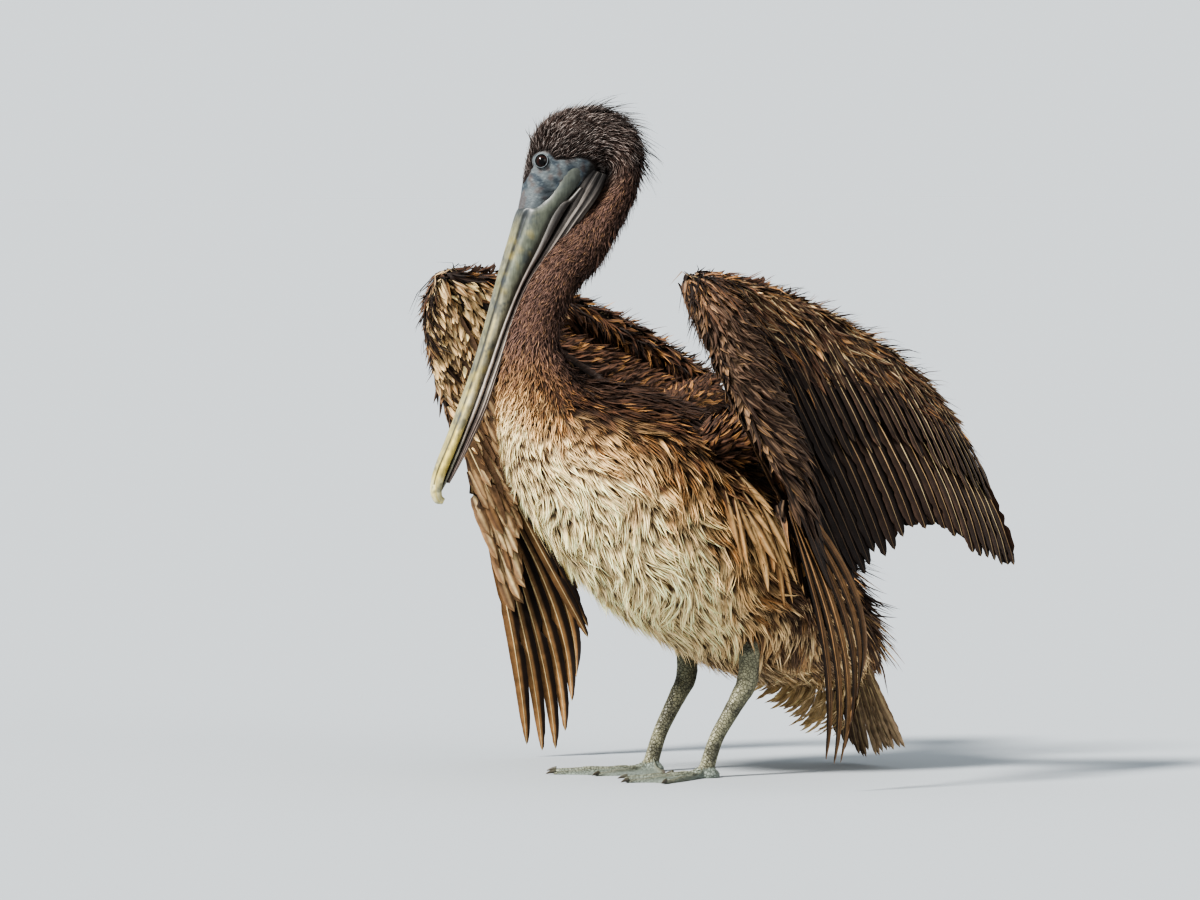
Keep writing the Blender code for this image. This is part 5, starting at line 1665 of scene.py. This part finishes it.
def upper_bill_paint(forward, turn, ring, grooved):
    """Colours round one slice of the upper bill, turn being 0 at its top and pi at its bottom: plates
    with a dark groove between, worn and mottled, then the bluish base and its shadow."""
    nail = ramp(forward, 27.0, 28.6)
    plate = mix(BILL_GREEN * 0.70, BILL_CREAM * 0.80, 0.05 + 0.75 * ramp(forward, 6.0, 13.0))
    plate = mix(plate, BILL_YELLOW, 0.70 * ramp(forward, 19.0, 25.0))
    plate = mix(plate, BILL_NAIL, nail)
    ridge = mix(BILL_GREEN * 0.8, FACE_GREY * 0.8, 0.35 + 0.35 * math.sin(forward * 1.3))
    ridge = mix(ridge, BILL_YELLOW * 0.8, 0.25 + 0.30 * ramp(forward, 14.0, 24.0))
    ridge = mix(ridge, BILL_NAIL, nail)
    tint = mix(plate, ridge, 1 - ramp(turn, 0.75, 0.95))
    gleam = np.exp(-(((turn - GROOVE_TURN - 0.30) / 0.14) ** 2)) * ramp(forward, 8.0, 14.0)
    tint = mix(tint, BILL_YELLOW, gleam * 0.55)
    seam = np.exp(-(((turn - GROOVE_TURN) / (GROOVE_WIDTH * 0.85)) ** 2)) * grooved
    tint = mix(tint, BILL_SEAM_DARK * 0.18, seam * 0.98)
    blotch = ramp(wobble(ring, 0.016, 33) + 0.6 * wobble(ring, 0.006, 34), 0.1, 1.3)
    tint = mix(tint, FACE_BLUE * 0.45, blotch * 0.6)
    gilt = ramp(wobble(ring, 0.021, 35), 0.3, 1.0) * ramp(forward, 1.0, 4.0)
    tint = mix(tint, BILL_YELLOW * 0.8, gilt * 0.35)
    lower = ramp(turn, 1.9, 2.2) * (0.8 - 0.45 * ramp(forward, 8.0, 13.0))
    tint = mix(tint, BILL_SEAM_DARK, lower)
    face = 1 - ramp(forward, -3.0, 2.5)
    tint = mix(tint, mix(BILL_GREEN * 0.50, FACE_GREY * 0.42, 0.45), face * 0.8)
    brow = (1 - ramp(turn, 0.9, 1.5)) * ramp(forward, -0.6, -0.2) * (1 - ramp(forward, 1.2, 3.2))
    wedge = np.exp(-(((turn - GROOVE_TURN) / 0.26) ** 2)) * math.exp(-(((forward - 1.8) / 1.5) ** 2))
    blue = np.maximum(brow, wedge * 0.9)
    tint = mix(tint, mix(FACE_BLUE * 0.30, FACE_GREY * 0.36, 0.4), blue * 0.9)
    step = (1 - ramp(turn, 0.5, 1.0)) * (1 - ramp(forward, 0.8, 1.8))
    return tint * (0.62 + 0.26 * ramp(forward, 15.0, 23.0)) * (1 - 0.55 * step)[:, None]


def upper_bill(head):
    """Points, faces and tints of the upper bill, whose nail hooks over the lower one's tip."""
    rows = smooth([(*row, tilt) for row, tilt in zip(UPPER_BILL, HOOK_TILT)], 16)
    sides = 72
    turn = np.abs(turn_from_top(ring_turns(sides, 0.5)))
    rings, tints = [], []
    for forward, top, bottom, wide, tilt in rows:
        groove = 0.17 * ramp(forward, 0.5, 2.0) * (1 - ramp(forward, 27.0, 28.5))
        bottom, wide = max(bottom, top + 0.1), max(wide, 0.12)
        ring = bill_ring(head, forward, top, bottom, wide, sides, CULMEN_RIDGE, groove)
        height = (ring - ring.mean(axis=0)) @ head.crown
        angle = math.radians(tilt)
        ring = ring + height[:, None] * (head.crown * (math.cos(angle) - 1) + head.bill * math.sin(angle))
        rings.append(ring)
        tints.append(upper_bill_paint(forward, turn, ring, groove > 0.01))
    return closed_tube(np.array(rings), np.array(tints))


def lower_bill_paint(forward, rise):
    """Colours round one slice of the lower bill, rise being 1 at its top and -1 at its bottom."""
    pale = ramp(forward, 7.0, 14.0) * (1 - ramp(forward, 19.0, 23.0))
    base = mix(POUCH_GREY * 0.45, POUCH_MAUVE * 0.45, ramp(forward, 2.0, 10.0))
    base = mix(base, POUCH_PALE * 0.85, pale)
    base = mix(base, BILL_GREEN * 0.6, 0.5 * ramp(forward, 21.0, 26.0))
    tint = mix(base, BILL_SEAM_DARK, ramp(rise, 0.62, 0.95) * 0.7 * (1 - pale))
    tint = mix(tint, POUCH_GREY * 0.7, ramp(-rise, 0.5, 0.95) * 0.4)
    return tint * (0.45 + 0.55 * ramp(forward, 0.5, 6.0))


def lower_bill(head):
    """Points, faces and tints of the lower bill's horn, from deep in the face to its tip."""
    rows = [(-2.4, 4.60, 5.25, 1.95), (-1.0, 3.90, 4.80, 1.90)]
    rows += [(f, edge + 0.05, keel, wide) for f, edge, keel, _, wide in LOWER_BILL if f >= 0]
    sides = 56
    rings, tints = [], []
    for forward, top, bottom, wide in smooth(rows, 12):
        rings.append(bill_ring(head, forward, top, max(bottom, top + 0.1), max(wide, 0.2), sides))
        tints.append(lower_bill_paint(forward, np.cos(ring_turns(sides, 0.5))))
    return closed_tube(np.array(rings), np.array(tints))


def pouch_paint(forward, away, wave):
    """Colours round one slice of the pouch, away being 0 at its top and wave the height of its folds."""
    base = mix(POUCH_DARK * 0.8, POUCH_GREY * 0.6, ramp(forward, -3.8, -1.0))
    base = mix(base, POUCH_MAUVE * 0.6, ramp(forward, 1.0, 10.0))
    pale = ramp(forward, 9.0, 14.0) * (1 - ramp(forward, 18.0, 22.0))
    base = mix(base, POUCH_PALE * 0.75, pale * (1 - ramp(away, 1.7, 2.3)))
    # Painted shade: the furrows, where the folds' wave is low, are darkened.
    dark = ramp(-wave, 0.1, 1.1) * ramp(away, 0.9, 1.3) * (1 - pale)
    return mix(base, POUCH_DARK * 0.7, dark * 0.7)


def pouch(head):
    """The folded pouch, with furrows that run along it."""
    rows = []
    for forward, edge, keel, bottom, wide in LOWER_BILL[:-1]:
        top = keel + 0.05 if forward >= 0 else edge
        low = bottom + POUCH_TO_NECK * (1 - ramp(forward, 2.0, 6.0))
        rows.append((forward, top, low, wide * 0.97))
    sides = 96
    away = np.abs(turn_from_top(ring_turns(sides, 0.5)))
    rings, tints = [], []
    for forward, top, bottom, wide in smooth(rows, 16):
        deep = max(bottom - top, 0.12)
        ring = bill_ring(head, forward, top, top + deep, max(wide, 0.2), sides)
        drift = 0.9 * math.sin(forward * 0.33) + 0.35 * math.sin(forward * 1.1 + 1.0)
        wave = np.sin(away * 10.5 + drift) + 0.45 * np.sin(away * 23 + drift * 2.3 + 0.4 * forward)
        depth = 0.75 * MM * min(deep, 1.6) * ramp(away, 0.7, 1.1)
        ring = ring + unit(ring - ring.mean(axis=0)) * (depth * (wave - 1.2))[:, None]
        rings.append(ring)
        mottle = (1 + 0.10 * wobble(ring, 0.012, 31))[:, None]
        tints.append(pouch_paint(forward, away, wave) * mottle)
    return closed_tube(np.array(rings), np.array(tints))


def eye_centre(head, side):
    """The middle of the eye on this side, 1 being the left."""
    return head.at(EYE_FORWARD, EYE_BELOW_CROWN_LINE, side * EYE_SIDE)


def eyeball(head, side):
    """A dense ball, dark brown with a black pupil that looks out sideways."""
    tilt = EYE_TILT * 0.4
    gaze = unit(head.left * side * math.cos(tilt) + head.crown * math.sin(tilt) + head.bill * 0.10)
    across = unit(np.cross(gaze, head.bill))
    up = np.cross(gaze, across)
    rings, tints = [], []
    turns = ring_turns(64)
    circle = across * np.cos(turns)[:, None] + up * np.sin(turns)[:, None]
    for polar in np.linspace(0.02, math.pi - 0.02, 48):
        bulge = 1.0 + 0.02 * math.exp(-((polar / 0.5) ** 2))
        reach = EYE_RADIUS * 0.985 * CM * bulge
        rings.append(eye_centre(head, side) + reach * (gaze * math.cos(polar) + math.sin(polar) * circle))
        iris = 1 - ramp(polar, 0.80, 0.95)
        pupil = 1 - ramp(polar, 0.50, 0.56)
        fibres = 0.8 + 0.4 * np.sin(turns * 37) * np.sin(turns * 11 + 1)
        tints.append(mix(mix(CROWN_DARK * 0.2, IRIS, iris) * fibres[:, None], PUPIL, pupil))
    return closed_tube(np.array(rings), np.array(tints))


def lids(head, side):
    """The rim of bare skin round the eye, with a heavier fold above."""
    axis = unit(head.left * side * math.cos(EYE_TILT) + head.crown * math.sin(EYE_TILT))
    ahead = unit(head.bill - axis * np.dot(head.bill, axis))
    above = unit(np.cross(ahead, axis)) * side
    above = above if np.dot(above, head.crown) > 0 else -above
    rings, tints = [], []
    total, sides = 72, 14
    turns = ring_turns(sides)
    for phi in ring_turns(total):
        brow = max(math.sin(phi), 0.0)
        outward = ahead * math.cos(phi) + above * math.sin(phi) * 0.94
        centre = eye_centre(head, side) + (axis * (0.33 + 0.05 * brow) + outward * 0.645) * CM
        thick = (0.060 + 0.025 * brow + 0.008 * math.sin(phi * 9)) * CM
        rings.append(centre + thick * (outward * np.cos(turns)[:, None] + axis * np.sin(turns)[:, None]))
        tints.append(mix(FACE_GREY * 0.55, LEG_DARK * 0.12, ramp(-np.cos(turns), 0.0, 0.9)))
    index = np.arange(total * sides).reshape(total, sides)
    after, beyond = np.roll(index, -1, axis=1), np.roll(index, -1, axis=0)
    faces = np.stack((index, after, np.roll(beyond, -1, axis=1), beyond), -1).reshape(-1, 4)
    return np.array(rings).reshape(-1, 3), faces.tolist(), np.array(tints).reshape(-1, 3)


# ---------------------------------------------------------------- legs and feet


def merged(parts):
    """Several (points, faces, tints) as one."""
    verts, faces, tints = [], [], []
    base = 0
    for points, quads, tint in parts:
        verts.append(points)
        faces += [[index + base for index in face] for face in quads]
        tints.append(tint)
        base += len(points)
    return np.concatenate(verts), faces, np.concatenate(tints)


def foot_reach(turn):
    """How far the webbed foot reaches from its joint at this angle, and how near a toe's line it is,
    from 0 to 1."""
    reach, ridge = FOOT_HEEL, 0.0
    for (turn_a, long_a), (turn_b, long_b) in zip(TOES, TOES[1:]):
        if turn_b <= turn <= turn_a:
            t = (turn_a - turn) / (turn_a - turn_b)
            web = long_a + (long_b - long_a) * t
            reach = web * (1 - 0.16 * math.sin(math.pi * t) ** 0.8)
    for toe_turn, toe_length in TOES:
        away = abs(turn - toe_turn) * math.radians(1) * toe_length
        ridge = max(ridge, math.exp(-((away / 0.40) ** 2)))
        if turn > TOES[0][0] or turn < TOES[-1][0]:
            edge = min(abs(turn - TOES[0][0]), abs(turn - TOES[-1][0]))
            side_of_toe = toe_length * math.exp(-((edge / 4.0) ** 2))
            reach = max(reach, side_of_toe * (abs(turn - toe_turn) < 12))
    return reach, ridge


def foot(side):
    """A webbed foot, flat underneath, with jointed toes standing out of the web."""
    joint = place(*FOOT_JOINT, 0.0)
    turns = np.linspace(TOES[-1][0] - 22, TOES[-1][0] + 338, 220, endpoint=False)
    outline = [(math.radians(turn) + FOOT_SPLAY, *foot_reach(turn)) for turn in turns]
    rings, tints = [], []
    for share in np.linspace(0, 1, 44):
        ring, tint = [], []
        for turn, reach, ridge in outline:
            distance = 0.05 * (1 - share) + reach * share
            hub = HUB_HEIGHT * math.exp(-((distance / (HUB_RADIUS + 0.35)) ** 2))
            joints = 1 + 0.16 * math.cos(share * 2 * math.pi * 3.2)
            toe = TOE_HEIGHT * ridge * min(share / 0.12, 1.0) * (1 - 0.55 * share) * joints
            web = WEB_HEIGHT * (1 - 0.85 * share**5) * (1 - 0.25 * (1 - ridge) * math.sin(math.pi * share))
            out, ahead = math.sin(turn) * distance, math.cos(turn) * distance
            ring.append(joint + place(out, ahead, web + toe + hub))
            tint.append(mix(WEB_GREY, LEG_GREEN * 0.85, ridge * 0.7))
        rings.append(ring)
        tints.append(tint)
    rings, tints = np.array(rings), np.array(tints)
    sole = rings[-1] * (1, 1, 0)
    rings = np.concatenate((rings, sole[None]))
    tints = np.concatenate((tints, tints[-1:]))
    verts, faces, tint = closed_tube(rings, tints)
    return verts * (side, 1, 1), faces, tint


def leg(side):
    """Thigh and shank in one tube, down into the foot's hub, knobbed and creased at the ankle."""
    patch = outward_tube(tube_patch(LEG_POINTS, LEG_RADII, 0.84, 16, 40))
    height = patch.grid[..., 2]
    knobs = np.exp(-(((height - 0.089) / 0.012) ** 2)) * 0.6 * MM
    creases = np.sin(height / (2.4 * MM) + 2.5 * wobble(patch.grid, 0.02, 43))
    creases = creases * 0.35 * MM * np.exp(-(((height - 0.085) / 0.018) ** 2))
    rings = patch.grid + patch.normal * (knobs + creases)[..., None]
    shade = ramp(wobble(rings, 0.02, 41) + 0.5 * wobble(rings, 0.007, 42), -0.5, 1.0)
    verts, faces, tint = closed_tube(rings, mix(LEG_GREEN * 1.05, LEG_DARK, 0.05 + 0.75 * shade))
    return verts * (side, 1, 1), faces, tint


def claws(side):
    """Short hooked claws at the toes' ends."""
    parts = []
    shares = np.linspace(0, 1, 12)
    turns = ring_turns(16)
    for turn, reach in TOES:
        angle = math.radians(turn) + FOOT_SPLAY
        ahead = place(math.sin(angle), math.cos(angle), 0.0) / CM
        out = np.cross(ahead, (0.0, 0.0, 1.0))
        start = place(*FOOT_JOINT, 0.0) + ahead * (reach - 0.45) * CM
        rings = []
        for t in shares:
            centre = start + ahead * 0.95 * t * CM + np.array((0, 0, 0.30 - 0.20 * t * t)) * CM
            radius = (0.20 * (1 - t) ** 0.7 + 0.015) * CM
            up = np.array((0.0, 0.0, 1.0)) + ahead * 0.3 * t
            rings.append(centre + radius * (out * np.cos(turns)[:, None] * 0.8 + up * np.sin(turns)[:, None]))
        rings = np.array(rings)
        rings[..., 2] = np.maximum(rings[..., 2], 0.2 * MM)
        shade = np.broadcast_to(mix(LEG_DARK, CLAW_DARK, shares)[:, None], rings.shape)
        parts.append(closed_tube(rings, shade))
    verts, faces, tints = merged(parts)
    return verts * (side, 1, 1), faces, tints


# ---------------------------------------------------------------- materials of skin, horn and eye


def skin_look():
    """Skin under the coat and on the bare face, finely creased."""
    look = Look("skin", 0.55, 0.35)
    look.bump(look.noise(0.0035, 6), 0.0008, 0.9)
    look.bump(look.noise(0.0012, 3), 0.0003, 0.8)
    return look.finish(look.shade(look.tint, look.ranged(look.noise(0.008, 4), 0.82, 1.14)))


def scaled_look(name, scale_size, roughness):
    """Leg skin: small plates with dark joints between them."""
    look = Look(name, roughness, 0.4)
    plates = look.node("ShaderNodeTexVoronoi", {"Scale": 1 / scale_size}, feature="DISTANCE_TO_EDGE")
    look.link(look.place, plates.inputs["Vector"])
    away = plates.outputs["Distance"]
    look.bump(look.spread(away, {"From Max": 0.12}), 0.0007, 1.0)
    joint = look.spread(away, {"From Max": 0.10, "To Min": 0.45, "To Max": 1.04})
    patchy = look.ranged(look.noise(0.010, 4), 0.85, 1.12)
    return look.finish(look.shade(look.shade(look.tint, joint), patchy))


def horn_look():
    """Bill horn: streaks and fine scratches along it, slightly worn."""
    look = Look("horn", 0.46, 0.45, coat_weight=0.12, coat_roughness=0.35)
    along_bill = (math.pi / 2 - BILL_PITCH, 0.0, HEAD_TURN)
    stretch = look.node("ShaderNodeMapping", {"Rotation": along_bill, "Scale": (1.0, 1.0, 0.12)})
    look.link(look.place, stretch.inputs["Vector"])
    streaks = look.noise(0.0022, 5, stretch.outputs["Vector"])
    look.bump(streaks, 0.0003, 0.5)
    look.bump(look.noise(0.0015, 4), 0.0001, 0.5)
    patchy = look.ranged(look.noise(0.009, 6), 0.70, 1.20)
    return look.finish(look.shade(look.shade(look.tint, look.ranged(streaks, 0.72, 1.18)), patchy))


def pouch_look():
    """The pouch's leathery skin, wrinkled and pitted."""
    look = Look("pouch", 0.58, 0.35)
    look.bump(look.noise(0.0030, 6), 0.0005, 0.8)
    look.bump(look.noise(0.0010, 3), 0.00012, 0.6)
    return look.finish(look.shade(look.tint, look.ranged(look.noise(0.009, 5), 0.80, 1.14)))


def eye_look():
    """A wet dark eye under a clear coat."""
    look = Look("eye", 0.30, 0.08, coat_weight=0.45, coat_roughness=0.02)
    return look.finish(look.shade(look.tint, look.ranged(look.noise(0.0008, 3), 0.75, 1.25)))


def claw_look():
    """Dark claw horn, slightly rough."""
    look = Look("claw", 0.42, 0.45)
    look.bump(look.noise(0.0010, 4), 0.0002, 0.6)
    return look.finish(look.shade(look.tint, look.ranged(look.noise(0.003, 4), 0.78, 1.16)))


def floor_look():
    """A plain matt floor."""
    material = bpy.data.materials.new("floor")
    material.use_nodes = True
    surface = material.node_tree.nodes["Principled BSDF"]
    surface.inputs["Base Color"].default_value = (*FLOOR_TINT, 1.0)
    surface.inputs["Roughness"].default_value = 0.85
    surface.inputs["Specular IOR Level"].default_value = 0.0
    return material


# ---------------------------------------------------------------- putting it together


def voxel_union(verts, faces, size):
    """One closed mesh over all of these overlapping closed ones, smoothed. Returns points, faces."""
    mesh = bpy.data.meshes.new("union")
    mesh.from_pydata([tuple(point) for point in verts], [], faces)
    turn_outward(mesh)
    helper = bpy.data.objects.new("union", mesh)
    bpy.context.scene.collection.objects.link(helper)
    modifier = helper.modifiers.new("union", "REMESH")
    modifier.mode = "VOXEL"
    modifier.voxel_size = size
    smoother = helper.modifiers.new("smooth", "SMOOTH")
    smoother.iterations = 4
    smoother.factor = 0.5
    evaluated = helper.evaluated_get(bpy.context.evaluated_depsgraph_get())
    made = evaluated.to_mesh()
    points = np.empty(len(made.vertices) * 3)
    made.vertices.foreach_get("co", points)
    quads = [list(polygon.vertices) for polygon in made.polygons]
    evaluated.to_mesh_clear()
    bpy.data.objects.remove(helper)
    bpy.data.meshes.remove(mesh)
    return points.reshape(-1, 3), quads


def nearest_tints(points, verts, tints):
    """For each point the tint of the vertex nearest to it."""
    tree = KDTree(len(verts))
    for i, vert in enumerate(verts):
        tree.insert(vert, i)
    tree.balance()
    return tints[[tree.find(point)[1] for point in points]]


def painted(part, side):
    """A wing's skin part on this side, in a plain under-coat colour."""
    verts, faces = part
    verts = verts * (side, 1, 1)
    return verts, faces, BLACK_BROWN * (1 + 0.15 * wobble(verts, 0.03, 51))[:, None]


def build_skin(head, patch, wing_skins, looks):
    """The skin of the whole bird as one piece, with its bare legs and feet in their own material."""
    legs = merged([leg(1), leg(-1), foot(1), foot(-1)])
    points, quads = voxel_union(legs[0], legs[1], 1.0 * MM)
    points[:, 2] = np.maximum(points[:, 2], 0.0)
    parts = [body_skin(head, patch)]
    for side, skins in wing_skins:
        parts += [painted(part, side) for part in skins]
    parts.append((points, quads, nearest_tints(points, legs[0], legs[2])))
    verts, faces, tints = merged(parts)
    skin = mesh_object("skin", verts, faces, tints, looks["skin"])
    skin.data.materials.append(looks["leg"])
    order = np.zeros(len(faces), np.int32)
    order[len(faces) - len(quads):] = 1
    skin.data.polygons.foreach_set("material_index", order)
    return skin


def floor_and_sky():
    """A wide pale floor under a sky of the same brightness."""
    corners = [(x * FLOOR_HALF, y * FLOOR_HALF, 0) for x, y in ((-1, -1), (1, -1), (1, 1), (-1, 1))]
    mesh = bpy.data.meshes.new("floor")
    mesh.from_pydata(corners, [], [(0, 1, 2, 3)])
    mesh.materials.append(floor_look())
    floor = bpy.data.objects.new("floor", mesh)
    bpy.context.scene.collection.objects.link(floor)
    world = bpy.data.worlds.new("studio")
    world.use_nodes = True
    background = world.node_tree.nodes["Background"]
    background.inputs["Color"].default_value = (*SKY_TINT, 1.0)
    background.inputs["Strength"].default_value = SKY_STRENGTH
    bpy.context.scene.world = world


def light_and_camera():
    """Two soft lamps and the camera, all placed round the view's centre."""
    scene = bpy.context.scene
    right = np.array((math.cos(VIEW_TURN), math.sin(VIEW_TURN), 0.0))
    toward = np.array((math.sin(VIEW_TURN), -math.cos(VIEW_TURN), 0.0))
    up = np.array((0.0, 0.0, 1.0))
    target = right * VIEW_CENTRE_RIGHT + up * VIEW_CENTRE_HEIGHT
    for name, across, near, above, strength, spread in LAMPS:
        data = bpy.data.lights.new(name, "SUN")
        data.energy = strength
        data.color = LAMP_TINT
        data.angle = math.radians(spread)
        lamp = bpy.data.objects.new(name, data)
        away = right * across + toward * near + up * above
        lamp.location = target + away
        lamp.rotation_euler = Vector(-away).to_track_quat("-Z", "Y").to_euler()
        scene.collection.objects.link(lamp)
    data = bpy.data.cameras.new("camera")
    data.lens = VIEW_LENS
    data.sensor_width = SENSOR_WIDTH
    camera = bpy.data.objects.new("camera", data)
    spot = target + (toward * math.cos(VIEW_RISE) + up * math.sin(VIEW_RISE)) * VIEW_DISTANCE
    camera.location = spot
    camera.rotation_euler = Vector(target - spot).to_track_quat("-Z", "Y").to_euler()
    scene.collection.objects.link(camera)
    scene.camera = camera
    scene.view_settings.view_transform = "AgX"
    scene.view_settings.look = "AgX - High Contrast"

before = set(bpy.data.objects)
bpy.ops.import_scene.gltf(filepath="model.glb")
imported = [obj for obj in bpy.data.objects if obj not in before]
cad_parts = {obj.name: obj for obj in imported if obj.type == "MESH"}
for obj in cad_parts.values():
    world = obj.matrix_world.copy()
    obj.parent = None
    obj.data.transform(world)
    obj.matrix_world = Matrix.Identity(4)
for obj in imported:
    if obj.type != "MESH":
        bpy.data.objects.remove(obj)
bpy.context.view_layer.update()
HEAD = HeadFrame()
LOW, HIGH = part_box("eye_left")
OFFSET = (np.array(LOW) + np.array(HIGH)) / 2 - eye_centre(HEAD, 1)


def soft_nodes():
    """The plain solids that skin, coat and quills stand for."""
    flesh = ["head", "neck_upper", "neck_lower", "trunk"]
    quills = ["tail"]
    limbs = ("wing_arm", "wing_fold", "wing_forearm", "wing_hand", "leg_thigh", "leg_shank", "foot")
    for side in ("left", "right"):
        flesh += [f"{part}_{side}" for part in limbs]
        quills += [f"{part}_{side}" for part in ("secondaries", "tertials", "primaries_inner")]
        quills += [f"primary_{number:02d}_{side}" for number in LONG_PRIMARIES]
    return flesh + quills


def all_looks():
    """The materials by name."""
    return {
        "skin": skin_look(),
        "leg": scaled_look("leg_scales", 0.0030, 0.50),
        "horn": horn_look(),
        "pouch": pouch_look(),
        "eye": eye_look(),
        "claw": claw_look(),
        "head": feather_look("head_coat", 0.80, 0.00005, 0.25),
        "body": feather_look("body_coat", 0.72, 0.00008, 0.20),
        "wing": feather_look("wing_coat", 0.60, 0.00014, 0.22),
    }


def main():
    """Builds every piece, then floor, sky, lamps and camera."""
    looks = all_looks()
    body = body_patch(HEAD)
    rng = np.random.default_rng(11)
    coat_pieces("coat_head", head_and_neck_coat(HEAD, body, rng), looks["head"])
    coat_pieces("coat_trunk", trunk_coat(HEAD, body, rng), looks["body"])
    tail = tail_feathers(rng) + undertail_feathers(rng)
    coat_pieces("tail_feathers", tail, looks["wing"])
    wing_skins = []
    for name, side, seed in (("left", 1, 5), ("right", -1, 6)):
        skins, chunks = wing_coat(WingSheet(), seed, side < 0)
        wing_skins.append((side, skins))
        if side < 0:
            chunks = [mirrored(chunk) for chunk in chunks]
        coat_pieces(f"coat_wing_{name}", chunks, looks["wing"])
    skin = build_skin(HEAD, body, wing_skins, looks)
    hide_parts(*soft_nodes())
    for name, build, look, slot, node in (
        ("bill_upper_horn", upper_bill, "horn", "bill_horn", "bill_upper"),
        ("bill_lower_horn", lower_bill, "horn", "bill_horn", "bill_lower"),
        ("pouch_folds", pouch, "pouch", "pouch_skin", "pouch"),
    ):
        piece = mesh_object(name, *build(HEAD), looks[look])
        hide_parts(node)
    for name, side in (("left", 1), ("right", -1)):
        ball = mesh_object(f"eyeball_{name}", *eyeball(HEAD, side), looks["eye"])
        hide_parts(f"eye_{name}")
        rim = mesh_object(f"lids_{name}", *lids(HEAD, side), looks["skin"])
        nails = mesh_object(f"claws_{name}", *claws(side), looks["claw"])
    floor_and_sky()
    light_and_camera()


main()
